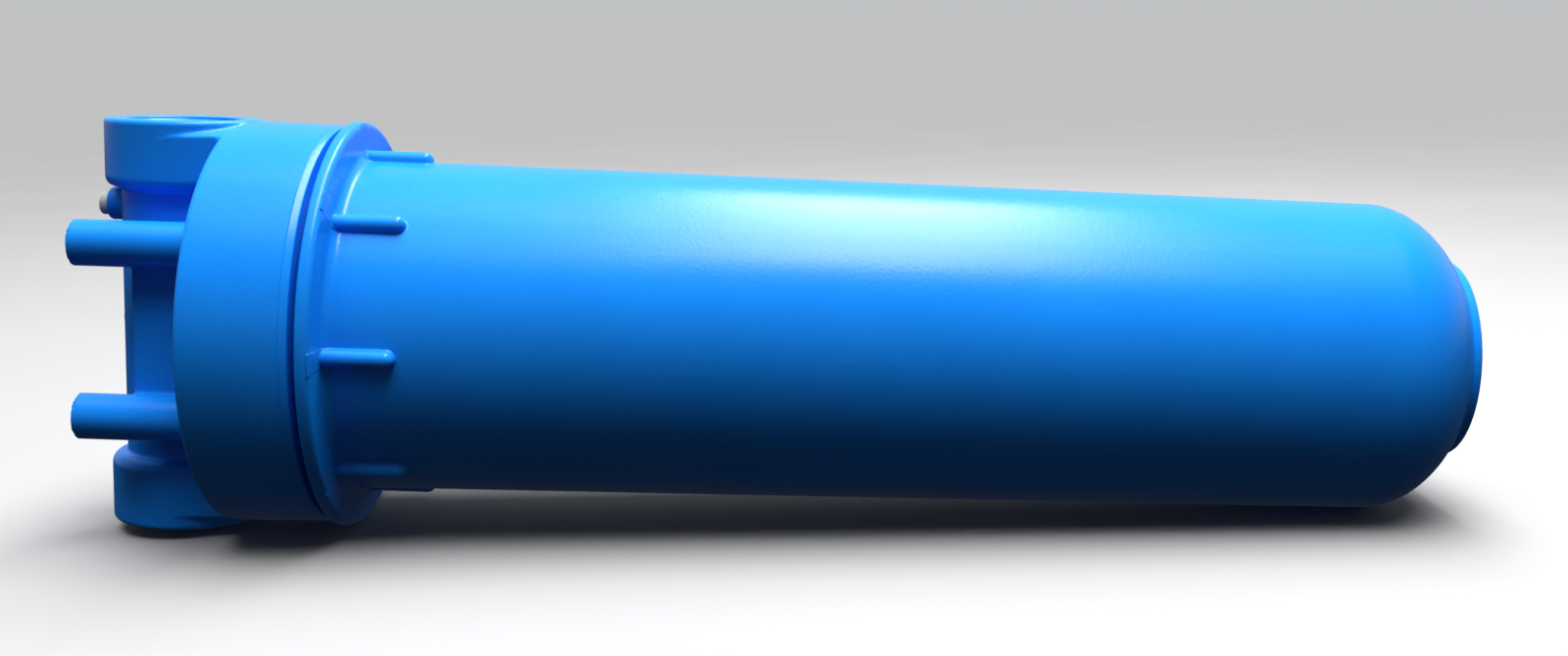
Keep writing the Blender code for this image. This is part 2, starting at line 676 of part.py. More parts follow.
def new_empty(name, location=(0, 0, 0)):
    """An empty that places pieces and is no piece itself."""
    empty = bpy.data.objects.new(name, None)
    empty.location = location
    bpy.context.scene.collection.objects.link(empty)
    return empty


def lay_on_side(frame):
    """Tip the housing onto its flange and the end of its sump, over the origin."""
    run = DOME_START - FLANGE_START
    slope = math.atan2(FLANGE_RADIUS - DOME_RADIUS, run)
    frame.rotation_euler = (0, TURN / 4 + slope, 0)
    bpy.context.view_layer.update()
    depsgraph = bpy.context.evaluated_depsgraph_get()
    corners = []
    for part in PARTS.objects:
        evaluated = part.evaluated_get(depsgraph)
        corners += [evaluated.matrix_world @ vert.co for vert in evaluated.data.vertices]
    low, high = min(c.x for c in corners), max(c.x for c in corners)
    frame.location = (-(low + high) / 2, 0, -min(c.z for c in corners))


def main():
    """Build every piece, give it its material and lay the housing down."""
    blue = make_material("blue_polypropylene", (0.01, 0.17, 0.75), 0.42)
    white = make_material("white_plastic", (0.62, 0.62, 0.6), 0.4)
    rubber = make_material("black_rubber", (0.02, 0.02, 0.02), 0.6)
    steel = make_material("stainless_steel", (0.6, 0.6, 0.6), 0.3, 1.0)
    paper = make_material("white_media", (0.85, 0.85, 0.82), 0.85)
    pale = make_material("white_polypropylene", (0.8, 0.8, 0.8), 0.5)

    frame = new_empty("laid_on_side")
    valve_axis = new_empty("relief_valve_axis", (RELIEF_PLACE, 0, 0))
    valve_axis.parent = frame
    for piece, material in zip(relief_pieces(), (white, steel, rubber, steel, steel)):
        finish_part(piece, material).parent = valve_axis
    housing = [(cap(), blue), (sump(), blue), (housing_seal(), rubber)]
    materials = {"rubber": rubber, "end_cap": pale, "core": pale, "media": paper, "net": pale}
    for kind, pieces in cartridge().items():
        housing += [(piece, materials[kind]) for piece in pieces]
    for piece, material in housing:
        finish_part(piece, material).parent = frame
    for tool in TOOLS.objects:
        tool.parent = frame
    lay_on_side(frame)


main()
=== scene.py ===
"""Looks of a cartridge filter housing that lies on its side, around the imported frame.

Shapes are worked out in the housing's own frame, in millimetres: Z is the housing's axis, 0 at
the ends of the mounting posts and growing towards the foot, and -X points to the inlet. The
record's mounts say where that frame lies. The cap without its ring is one smooth field of
distances, turned into a mesh, so that every inner corner has its moulded fillet, and the screw is
made the same way. The ring, the sump, the threads and the other pieces are turned or swept.
"""
import json
import math

import bpy
import numpy as np
import openvdb
from mathutils import Matrix, Vector


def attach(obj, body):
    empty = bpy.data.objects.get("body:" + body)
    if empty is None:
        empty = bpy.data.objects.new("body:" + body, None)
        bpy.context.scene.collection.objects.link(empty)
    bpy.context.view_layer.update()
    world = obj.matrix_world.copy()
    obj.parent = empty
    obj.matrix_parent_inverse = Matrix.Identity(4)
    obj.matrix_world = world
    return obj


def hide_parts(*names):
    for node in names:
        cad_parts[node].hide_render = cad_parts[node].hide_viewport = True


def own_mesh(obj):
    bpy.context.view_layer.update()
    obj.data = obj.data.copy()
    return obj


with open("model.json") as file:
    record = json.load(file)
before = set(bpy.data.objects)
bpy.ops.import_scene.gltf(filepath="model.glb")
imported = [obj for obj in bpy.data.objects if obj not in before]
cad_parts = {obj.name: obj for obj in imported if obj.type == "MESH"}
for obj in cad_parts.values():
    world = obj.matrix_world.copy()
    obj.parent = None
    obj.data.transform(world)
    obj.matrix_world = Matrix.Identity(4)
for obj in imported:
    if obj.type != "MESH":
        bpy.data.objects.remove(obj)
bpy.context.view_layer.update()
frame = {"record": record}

MM = 0.001
TURN = 2 * math.pi
STEPS = 192                     # around the housing
ARC_STEP = math.radians(15)     # between the points of a rounded corner
SHARP = math.radians(32)        # edges sharper than this stay sharp

# Cap, in millimetres
RING_RADIUS = 90.7
RING_START = 60.5
RING_END = 106.7
RING_DRAFT = 0.8                # the ring is this much slimmer at its rim
RIM_BEVEL = (1.8, 3.0)          # radial, axial
RIM_LINE = 103.2                # fine line round the ring, just before the bevel
SEAM = 0.02                     # the head stays this far under the ring, which covers it
END_WALL_ROUND = 1.8
END_WALL_FILLET = 3.0           # to the ports and the saddles
RING_OVERLAP = 62.5             # where the ring begins to cover the head
CEILING = 70.5                  # of the space inside the ring
SEAL_BORE_RADIUS = 78.0
SEAL_BORE_END = 85.0
THREAD_BORE_RADIUS = 81.0
PORT_AXIS = 33.9
PORT_RADIUS = 34.3
PORT_TIP = 91.2
PORT_SHOULDER = 60.5
PORT_RIM_ROUND = 2.0
SHOULDER_ROUND = 5.0
SADDLE_TAPER = 3.5              # the saddles' walls curve in by this much toward the end wall
SADDLE_RISE = (0.5, 12.0)       # how far the saddles stand over the ring, and in what length
SADDLE_TOP = 90.0               # the saddles stay under the rims of the ports
SADDLE_ROUND = 0.9              # of the crown's edges
SADDLE_FILLET = 1.3             # to the port, close to the saddle's top
LEAST_FILLET = 0.01             # stands for none where a fillet fades out
PIPE_RADIUS = 27.7
PIPE_FILLET = 1.5               # to the ports
PIPE_BORE_RADIUS = 20.0
PIPE_BORE_ROUNDS = (1.0, 0.8)   # floor, mouth
SOCKET_MOUTH_RADIUS = 24.1
SOCKET_DEPTH = 26.0
SOCKET_ROUND = 0.4
SOCKET_TAPER = 1 / 32
PIPE_THREAD_PITCH = 25.4 / 11.5
PIPE_THREAD_DEPTH = 1.5
INLET_END = -16.0
OUTLET_END = -11.0
INLET_DROP = (-40.0, 11.0)      # place and radius
SPUD_TIP = 79.0
SPUD_BORE_RADIUS = 12.0
SPUD_RADII = (15.0, 17.0)       # tip, root
SPUD_ROUNDS = (0.8, 1.5)        # edge, fillet, as for the studs below
POST_RADIUS = 10.1
POST_PLACE = (38.2, 41.0)
POST_ROUNDS = (0.7, 1.6)
POST_HOLE = (3.4, 25.0)         # radius, depth
POST_HOLE_ROUND = 0.5
WEB_START = 23.0
WEB_HALF_WIDTH = 38.0
WEB_ROUNDS = (1.0, 1.2)
GATE_MARK = (3.6, 1.3)          # radius, height
GATE_ROUNDS = (0.5, 0.5)
HEAD_STEP = 1.25                # size of the cells that the head's mesh is made from

# Relief valve
RELIEF_PLACE = -51.7
BOSS_RADIUS = 7.35
BOSS_TIP = -0.5
BOSS_ROUNDS = (1.2, 1.0)
BUTTON_TIP = -4.7
BUTTON_RADIUS = 5.2
BUTTON_HEAD_END = 1.5
BUTTON_POCKET = (5.7, 7.0)      # radius, floor
STEM_RADIUS = 2.0
STEM_HOLE_RADIUS = 2.4
STEM_END = 14.3
VALVE_SEAT = 12.0
VALVE_CHAMBER_END = 19.9
SPOT_FACE_RADIUS = 5.6
VALVE_ROUNDS = (0.3, 0.4)       # floors, mouths
RELIEF_SEAL = (3.3, 1.0)        # ring, section
SPRING_RADIUS = 3.5
SPRING_WIRE_RADIUS = 0.25
SPRING_TURNS = 3.5
RELIEF_GAP = 0.3
WASHER = (1.2, 5.0, 0.8)        # bore, rim, thickness
SCREW_SHANK = (0.9, 8.0)        # radius, where it ends inside the stem
SCREW_HEAD = (3.5, 2.4)         # radius, height
SCREW_RIDGE = (0.12, 0.7)       # height, pitch
CROSS_RECESS = (0.42, 2.0, 1.5)  # half width, reach, depth
SCREW_STEP = 0.14               # size of the cells that the screw's mesh is made from

# Main thread
LEAD = 8.0
SUMP_THREAD = (88.0, 2.0)       # middle of the first turn, turns
CAP_THREAD = (92.0, 1.5)
THREAD_HEIGHT = 3.0
THREAD_WIDTHS = (4.6, 2.6)      # root, crest

# Sump
NECK_RADIUS = 77.4
SUMP_RIM = 72.0
RIM_BORE_RADIUS = 69.4
SEAL_GROOVE = (76.2, 81.2, 73.0)
SEAL_SECTION_RADIUS = 2.2
FLANGE_RADIUS = 91.8
FLANGE_START = 110.3
FLANGE_FACE = 115.6
FLANGE_CONE_END = 117.2         # where the sloping face would meet the tube
FLANGE_FILLET = 4.5
TUBE_START = 123.0
TUBE_RADIUS = 74.6
DOME_START = 566.5
DOME_RADIUS = 68.4
DOME_DEPTH = 46.0
FOOT_RADII = (38.0, 43.5)
FOOT_FLOOR = 601.5
FOOT_END = 606.0
WALL = 5.6
SUMP_FLOOR = 595.5
LUG_COUNT = 8
FIRST_LUG = math.radians(-88.0)  # its angle, just past -Y
LUG_END = 147.2
LUG_HALF_WIDTH = 4.0
LUG_TOP_RADIUS = 79.2
LUG_ROUND = 3.9
LUG_FILLET = 0.9
SEAT_RADII = (13.0, 17.0)
FIN_COUNT = 6
FIN_SIZE = (3.0, 41.0, 10.0)    # thickness, reach, height

# Cartridge
CARTRIDGE_START = 79.3
CARTRIDGE_END = 581.0
GASKET_RADII = (13.5, 23.0)
GASKET_THICKNESS = 3.0
END_CAP_RADIUS = 56.5
END_CAP_THICKNESS = 5.0
END_CAP_SKIRT = (1.5, 10.0)     # thickness, height
CORE_RADIUS = 22.5
CORE_WALL = 3.0
CORE_WINDOWS = (8, 24)          # round the core, along it
PLEAT_COUNT = 48
PLEAT_RADII = (24.5, 51.6)
PLEAT_THICKNESS = 1.2
PLEAT_FOLDS = (0.75, 1.5)       # radii of the inner and the outer folds
NET_RADIUS = 54.4
NET_STRAND = 0.36               # radius
NET_COUNT = 24                  # strands each way

# Room and camera, in metres
FLOOR_HALF = 60.0
ROOM_BEHIND = 0.55
ROOM_IN_FRONT = 0.10
ROOM_BELOW = 0.03
PANEL_PLACE = (0.22, 0.16, 1.5)
PANEL_SIZE = (0.46, 1.9)
PANEL_POWER = 42
CEILING_POWER = 4.0
CEILING_SPREAD = math.radians(60)
CEILING_LEAN = math.radians(7)  # towards the camera's side
CAMERA_PLACE = (0.0179, -0.7370, 0.2047)
CAMERA_TURN = (1.48, -7.93, -1.30)  # yaw, pitch and roll, in degrees
CAMERA_LENS = (37.58, 36.0)     # focal length, sensor width
CAMERA_SHIFT = (0.010, -0.0224)

# Body, CAD node and material slot of the two mouldings
CAP_PIECE = ("cap_body", "cap", "blue_housing")
SUMP_PIECE = ("sump_body", "sump", "blue_housing")


# -------------------- placing and naming

def housing_matrix():
    """From the housing's own frame to the row frame, read from two mounts of the record."""
    mounts = {mount["name"]: mount for mount in frame["record"]["mounts"]}
    axis = Vector(mounts["foot_rim"]["axis"])
    across = -Vector(mounts["inlet_rim"]["axis"])
    depth = axis.cross(across)
    foot = Vector(mounts["foot_rim"]["pos_m"])
    foot.y = 0
    origin = foot - axis * FOOT_END * MM
    columns = Matrix((across, depth, axis)).transposed()
    return Matrix.Translation(origin) @ columns.to_4x4()


HOUSING = housing_matrix()


def add_piece(name, points, faces, body, stands_for, slot, material, normals=None):
    """A mesh in the housing's frame that rides on a body and stands for CAD nodes."""
    turn = np.array(HOUSING.to_3x3()).T
    placed = np.asarray(points) * MM @ turn + np.array(HOUSING.translation)
    mesh = bpy.data.meshes.new(name)
    mesh.from_pydata(placed.tolist(), [], [list(face) for face in faces])
    mesh.materials.append(material)
    mesh.shade_smooth()
    if normals is None:
        mesh.set_sharp_from_angle(angle=SHARP)
    else:
        mesh.normals_split_custom_set_from_vertices((normals @ turn).tolist())
    piece = bpy.data.objects.new(name, mesh)
    bpy.context.scene.collection.objects.link(piece)
    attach(piece, body)
    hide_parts(stands_for)
    return piece


# -------------------- turned shapes

def rounded(corners, closed=True):
    """Points along an outline of (u, v, rounding) corners, with arcs where rounding isn't 0."""
    points = []
    count = len(corners)
    for i, (u, v, rounding) in enumerate(corners):
        here = np.array((u, v), float)
        if not rounding or (not closed and i in (0, count - 1)):
            points.append(here)
            continue
        arriving = here - np.array(corners[i - 1][:2], float)
        leaving = np.array(corners[(i + 1) % count][:2], float) - here
        arriving /= np.hypot(*arriving)
        leaving /= np.hypot(*leaving)
        turn = math.atan2(arriving[0] * leaving[1] - arriving[1] * leaving[0], arriving @ leaving)
        start = here - arriving * rounding * math.tan(abs(turn) / 2)
        side = np.array((-arriving[1], arriving[0])) * math.copysign(1, turn)
        center = start + side * rounding
        steps = max(2, math.ceil(abs(turn) / ARC_STEP))
        for k in range(steps + 1):
            c, s = math.cos(turn * k / steps), math.sin(turn * k / steps)
            x, y = start - center
            points.append(center + np.array((c * x - s * y, s * x + c * y)))
    return points


def ellipse_arc(center, radii, first, last, count):
    """(radius, z) points on an ellipse; angles from the radial direction towards +z."""
    angles = np.linspace(first, last, count + 1)
    return [np.array((center[0] + radii[0] * math.cos(a), center[1] + radii[1] * math.sin(a)))
            for a in angles]


def grid_faces(rows, columns, closed):
    """Quads between rows of points that each run all the way round."""
    row = np.arange(rows if closed else rows - 1)[:, None]
    column = np.arange(columns)[None, :]
    after = (row + 1) % rows
    beside = (column + 1) % columns
    corners = (row * columns + column, row * columns + beside, after * columns + beside,
               after * columns + column)
    return np.stack([c.ravel() for c in np.broadcast_arrays(*corners)], axis=1)


def facing_out(points, faces):
    """The faces, turned round if they enclose a negative volume."""
    volume = 0
    for face in faces:
        a, b, c = points[face[0]], points[face[1]], points[face[2]]
        volume += a @ np.cross(b, c)
    return faces if volume > 0 else [face[::-1] for face in faces]


def ring_points(radius, height, angles):
    """Points round Z, row by row, from columns of radii and heights."""
    radius, height, angles = np.broadcast_arrays(radius, height, angles)
    points = np.stack([radius * np.cos(angles), radius * np.sin(angles), height], axis=2)
    return points.reshape(-1, 3)


def fan(first, columns, pole):
    """Triangles between a row of points and a pole on the axis."""
    return [[first + i, first + (i + 1) % columns, pole] for i in range(columns)]


def revolve(outline, steps):
    """Points and faces of an outline of (radius, z) points turned about Z."""
    outline = np.array(outline)
    on_axis = outline[0, 0] == 0 and outline[-1, 0] == 0
    rings = outline[1:-1] if on_axis else outline
    points = ring_points(rings[:, :1], rings[:, 1:], np.arange(steps) * TURN / steps)
    faces = grid_faces(len(rings), steps, closed=not on_axis).tolist()
    if on_axis:
        faces += [face[::-1] for face in fan(0, steps, len(points))]
        faces += fan(len(points) - steps, steps, len(points) + 1)
        points = np.vstack([points, (0, 0, outline[0, 1]), (0, 0, outline[-1, 1])])
    return points, facing_out(points, faces)


def swept(sections):
    """Points and faces of a solid through closed sections with the same number of points."""
    sections = np.array(sections)
    count, sides = sections.shape[:2]
    points = sections.reshape(-1, 3)
    faces = grid_faces(count, sides, closed=False).tolist()
    faces.append(list(range(sides))[::-1])
    faces.append([(count - 1) * sides + i for i in range(sides)])
    return points, facing_out(points, faces)


def turned_piece(name, outline, body, stands_for, slot, material, steps=STEPS, place=0.0):
    """A piece turned about an axis parallel to the housing's."""
    points, faces = revolve(outline, steps)
    points = points + np.array((place, 0, 0))
    return add_piece(name, points, faces, body, stands_for, slot, material)


# -------------------- fields of distances

def join(a, b, fillet):
    """The nearer of two distances, with a round fillet between the shapes."""
    inside = np.hypot(np.maximum(fillet - a, 0), np.maximum(fillet - b, 0))
    return np.maximum(np.minimum(a, b), fillet) - inside


def keep(a, b, rounding):
    """What lies in both shapes, with the edge between them rounded."""
    return -join(-a, -b, rounding)


def cut(a, b, rounding):
    """The first shape without the second, with the edge between them rounded."""
    return -join(-a, b, rounding)


def rod(across, along, radius, start, end, edge):
    """Distance to a cylinder, from the distance to its axis and the place along it."""
    side = across - radius + edge
    face = np.abs(along - (start + end) / 2) - (end - start) / 2 + edge
    outside = np.hypot(np.maximum(side, 0), np.maximum(face, 0))
    return np.minimum(np.maximum(side, face), 0) + outside - edge


def share(value, start, length):
    """How much of a length a value has covered, from 0 to 1; a negative length counts down."""
    return np.clip((value - start) / length, 0, 1)


def ports_and_saddles(y, z, reach, across_pipe):
    """Distances to the pipe with its ports, and to those with the saddles' walls."""
    port_span = (PORT_SHOULDER, 2 * PORT_TIP, SHOULDER_ROUND)
    port = rod(across_pipe, reach, PORT_RADIUS, *port_span)
    barrel = join(across_pipe - PIPE_RADIUS, port, PIPE_FILLET)
    barrel = keep(barrel, reach - PORT_TIP, PORT_RIM_ROUND)
    half_width = PORT_RADIUS - SADDLE_TAPER * share(z, PORT_AXIS, RING_START - PORT_AXIS) ** 2
    port_walls = rod(np.abs(y), reach, half_width, *port_span)
    walls = join(np.abs(y) - PIPE_RADIUS, port_walls, PIPE_FILLET)
    walls = np.maximum(np.maximum(walls, PORT_AXIS - z), reach - SADDLE_TOP)
    return barrel, np.minimum(walls, barrel)


def with_stud(body, across, z, radius, start, end, rounds):
    """The body with a round stud along Z, with its edge and its fillet rounded."""
    edge, fillet = rounds
    return join(body, rod(across, z, radius, start, end, edge), fillet)


def head_distance(points):
    """Distance to the cap without its ring: ports, pipe, posts, webs, boss, end wall and spud."""
    x, y, z = points.T
    reach = np.abs(x)
    out = np.hypot(x, y)
    across_pipe = np.hypot(y, z - PORT_AXIS)
    barrel, raised = ports_and_saddles(y, z, reach, across_pipe)

    body = join(RING_START - z, raised, END_WALL_FILLET)
    rise, rise_length = SADDLE_RISE
    risen = share(z, RING_START + 2, -rise_length)
    crown = RING_RADIUS - SEAM + rise * risen ** 2 * (3 - 2 * risen)
    edge = SADDLE_ROUND + (END_WALL_ROUND - SADDLE_ROUND) * share(z, RING_START - 3, 2)
    body = keep(body, out - crown, edge)
    # the saddles' fillet to the barrel grows towards the crown and away from the port's axis
    crease = share(out, crown - 3, 3) * share(z, PORT_AXIS, 8)
    body = join(body, barrel, LEAST_FILLET + SADDLE_FILLET * crease)

    post_x, post_y = POST_PLACE
    web_edge, web_fillet = WEB_ROUNDS
    web = rod(reach, z, post_x, WEB_START, CEILING, web_edge)
    web = keep(web, np.abs(y) - WEB_HALF_WIDTH, web_edge)
    body = join(body, web, web_fillet)
    across_post = np.hypot(reach - post_x, np.abs(y) - post_y)
    body = with_stud(body, across_post, z, POST_RADIUS, 0, CEILING, POST_ROUNDS)
    across_boss = np.hypot(x - RELIEF_PLACE, y)
    body = with_stud(body, across_boss, z, BOSS_RADIUS, BOSS_TIP, CEILING, BOSS_ROUNDS)
    gate_radius, gate_height = GATE_MARK
    gate_tip = PORT_AXIS - PIPE_RADIUS - gate_height
    body = with_stud(body, out, z, gate_radius, gate_tip, PORT_AXIS, GATE_ROUNDS)
    body = keep(body, z - CEILING, 0.1)
    spud_tip, spud_root = SPUD_RADII
    slope = (spud_root - spud_tip) / (SPUD_TIP - CEILING)
    spud_across = out + (z - SPUD_TIP) * slope
    body = with_stud(body, spud_across, z, spud_tip, PORT_AXIS, SPUD_TIP, SPUD_ROUNDS)
    return with_ways_through(body, points, across_pipe, across_post, across_boss)


def with_ways_through(body, points, across_pipe, across_post, across_boss):
    """The head with its sockets, bores, passages, screw holes and the valve's chamber cut out."""
    x, y, z = points.T
    depth = PORT_TIP - np.abs(x)
    socket_radius = SOCKET_MOUTH_RADIUS + PIPE_THREAD_DEPTH / 2 - depth * SOCKET_TAPER
    socket = np.maximum(across_pipe - socket_radius, depth - SOCKET_DEPTH)
    mouth = (across_pipe - SOCKET_MOUTH_RADIUS - PIPE_THREAD_DEPTH + depth) / math.sqrt(2)
    body = cut(body, np.minimum(socket, mouth), SOCKET_ROUND)
    floor_round, mouth_round = PIPE_BORE_ROUNDS
    inlet = rod(across_pipe, -x, PIPE_BORE_RADIUS, -INLET_END, PORT_TIP, floor_round)
    outlet = rod(across_pipe, x, PIPE_BORE_RADIUS, OUTLET_END, PORT_TIP, floor_round)
    body = cut(body, np.minimum(inlet, outlet), mouth_round)
    drop_place, drop_radius = INLET_DROP
    drop = rod(np.hypot(x - drop_place, y), z, drop_radius, PORT_AXIS, PORT_TIP, 0)
    rise = rod(np.hypot(x, y), z, SPUD_BORE_RADIUS, PORT_AXIS, PORT_TIP, 0)
    body = cut(body, np.minimum(drop, rise), mouth_round)
    hole_radius, hole_depth = POST_HOLE
    hole = rod(across_post, z, hole_radius, -hole_depth, hole_depth, 0)
    body = cut(body, hole, POST_HOLE_ROUND)
    floor_round, mouth_round = VALVE_ROUNDS
    pocket_radius, pocket_floor = BUTTON_POCKET
    pocket = rod(across_boss, z, pocket_radius, -pocket_floor, pocket_floor, floor_round)
    stem_hole = rod(across_boss, z, STEM_HOLE_RADIUS, 0, VALVE_CHAMBER_END, 0)
    chamber = rod(across_boss, z, SPOT_FACE_RADIUS, VALVE_SEAT, VALVE_CHAMBER_END, floor_round)
    return cut(body, np.minimum(np.minimum(pocket, stem_hole), chamber), mouth_round)


def slope_of(distance, points, step=0.02):
    """The direction in which the distance grows, at each point."""
    slope = np.empty_like(points)
    for axis in range(3):
        shift = np.zeros(3)
        shift[axis] = step
        slope[:, axis] = distance(points + shift) - distance(points - shift)
    length = np.linalg.norm(slope, axis=1, keepdims=True)
    return slope / np.maximum(length, step * 0.01)


def mesh_of(distance, low, high, step):
    """Points, faces and normals of the surface where a distance is 0."""
    axes = [np.arange(a, b + step, step) for a, b in zip(low, high)]
    lattice = np.stack(np.meshgrid(*axes, indexing="ij"), axis=-1).reshape(-1, 3)
    band = 3 * step
    values = np.clip(distance(lattice), -band, band).reshape([len(axis) for axis in axes])
    grid = openvdb.FloatGrid(band)
    grid.copyFromArray(values.astype(np.float32))
    points, faces = grid.convertToQuads(isovalue=0.0)
    points = points.astype(float) * step + np.array(low)
    for _ in range(3):
        nudge = np.clip(distance(points), -step / 2, step / 2)
        points -= slope_of(distance, points) * nudge[:, None]
    return points, faces.tolist(), slope_of(distance, points)


# -------------------- cap

def cap_head(plastic):
    """Everything of the cap but its ring."""
    low = (-PORT_TIP - 2, -RING_RADIUS - 2, BOSS_TIP - 2)
    high = (PORT_TIP + 2, RING_RADIUS + 2, SPUD_TIP + 2)
    points, faces, normals = mesh_of(head_distance, low, high, HEAD_STEP)
    add_piece("cap_head", points, faces, *CAP_PIECE, plastic, normals)


def cap_ring(plastic):
    """The ring round the neck of the sump, with its rim line and bevel."""
    bevel_depth, bevel_length = RIM_BEVEL
    line_half, line_depth = 0.22, 0.3
    bevel_start = RING_END - bevel_length
    rim = RING_RADIUS - RING_DRAFT
    outline = rounded([
        (RING_RADIUS - 0.05, RING_OVERLAP, 0), (RING_RADIUS, RING_OVERLAP + 1.5, 0),
        (RING_RADIUS, CEILING + 1.0, 0), (rim, RIM_LINE - line_half, 0.15),
        (rim - line_depth, RIM_LINE, 0.08), (rim, RIM_LINE + line_half, 0.15),
        (rim, bevel_start, 0.5), (RING_RADIUS - bevel_depth, RING_END, 0.6),
        (THREAD_BORE_RADIUS, RING_END, 0.8), (THREAD_BORE_RADIUS, SEAL_BORE_END + 1.0, 0.3),
        (SEAL_BORE_RADIUS, SEAL_BORE_END, 0.5), (SEAL_BORE_RADIUS, RING_OVERLAP, 0),
    ])
    turned_piece("cap_ring", outline, *CAP_PIECE, plastic)


def threaded_socket(name, side, plastic):
    """A sleeve with the taper pipe thread inside, at one port."""
    columns, rows_per_pitch = 96, 10
    start, end = 0.6, SOCKET_DEPTH - 0.4
    clearance, thickness = 0.3, 1.2
    rows = round((SOCKET_DEPTH - 1) / PIPE_THREAD_PITCH * rows_per_pitch)
    depth = np.linspace(start, end, rows)[:, None]
    angles = (np.arange(columns) * TURN / columns)[None, :]
    phase = (depth / PIPE_THREAD_PITCH + side * angles / TURN) % 1
    wave = np.clip(np.abs(phase - 0.5) * 2.6 - 0.15, 0, 1)
    fade = share(depth, start, PIPE_THREAD_PITCH)
    root = SOCKET_MOUTH_RADIUS + PIPE_THREAD_DEPTH / 2 - clearance - depth * SOCKET_TAPER
    inner = root - PIPE_THREAD_DEPTH * wave * fade
    outer = np.repeat(root[::-1], columns, axis=1) + thickness
    radius = np.vstack([inner, outer])
    reach = PORT_TIP - np.repeat(np.vstack([depth, depth[::-1]]), columns, axis=1)
    points = np.stack([side * reach, radius * np.cos(angles),
                       PORT_AXIS + radius * np.sin(angles)], axis=2).reshape(-1, 3)
    faces = facing_out(points, grid_faces(2 * rows, columns, closed=True).tolist())
    add_piece(name, points, faces, *CAP_PIECE, plastic)


def thread_ridge(root_radius, crest_radius, start, turns):
    """A right-hand ridge with a rounded section that rises at one end and falls at the other."""
    direction = math.copysign(1, crest_radius - root_radius)
    root, crest = THREAD_WIDTHS
    height = abs(crest_radius - root_radius)
    buried, spread = 0.6, 0.2
    section = rounded([
        (-buried, -root / 2 - spread, 0), (0, -root / 2, 0), (height, -crest / 2, 0.5),
        (height, crest / 2, 0.5), (0, root / 2, 0), (-buried, root / 2 + spread, 0),
    ])
    steps = round(STEPS * turns)
    lead_in = STEPS / 12
    sections = []
    for i in range(steps + 1):
        angle = TURN * i / STEPS
        rise = math.sin(min(1.0, min(i, steps - i) / lead_in) * TURN / 4)
        middle = start + LEAD * i / STEPS
        ring = []
        for up, along in section:
            radius = root_radius + direction * (up if up < 0 else up * rise - 0.1 * (1 - rise))
            ring.append((radius * math.cos(angle), radius * math.sin(angle),
                         middle + along * (0.6 + 0.4 * rise)))
        sections.append(ring)
    return swept(sections)


def cap_thread(plastic):
    """The female half of the main thread."""
    crest = THREAD_BORE_RADIUS - THREAD_HEIGHT
    points, faces = thread_ridge(THREAD_BORE_RADIUS, crest, *CAP_THREAD)
    add_piece("cap_thread", points, faces, *CAP_PIECE, plastic)


# -------------------- relief valve

def valve_piece(node, outline, slot, material, steps):
    """A turned piece of the relief valve that stands for a CAD node."""
    turned_piece(f"{node}_fine", outline, "relief_valve", node, slot, material, steps, RELIEF_PLACE)


def relief_valve(white, rubber, steel):
    """The button on its stem, the spring, the seal, and the washer and screw that hold it."""
    shank_radius, shank_end = SCREW_SHANK
    bore = shank_radius + RELIEF_GAP
    button = rounded([
        (0, BUTTON_TIP, 0), (BUTTON_RADIUS, BUTTON_TIP, 1.1), (BUTTON_RADIUS, BUTTON_HEAD_END, 0.3),
        (STEM_RADIUS, BUTTON_HEAD_END, 0.4), (STEM_RADIUS, STEM_END, 0.3), (bore, STEM_END, 0.15),
        (bore, shank_end - RELIEF_GAP, 0), (0, shank_end - RELIEF_GAP, 0),
    ], closed=False)
    valve_piece("relief_button", button, "white_button", white, 64)
    ring_radius, section_radius = RELIEF_SEAL
    seal = seal_section(ring_radius, section_radius, VALVE_SEAT + RELIEF_GAP + section_radius)
    valve_piece("relief_o_ring", seal, "black_rubber", rubber, 48)
    washer_bore, washer_rim, thickness = WASHER
    start = STEM_END + RELIEF_GAP
    end = start + thickness
    washer = rounded([(washer_bore, start, 0.12), (washer_rim, start, 0.12),
                      (washer_rim, end, 0.3), (washer_bore, end, 0.12)])
    valve_piece("relief_washer", washer, "stainless_steel", steel, 64)
    relief_screw(end + RELIEF_GAP, steel)
    relief_spring(steel)


def seal_section(ring_radius, section_radius, height):
    """The round section of a rubber ring."""
    return ellipse_arc((ring_radius, height), (section_radius, section_radius), 0, TURN, 28)[:-1]


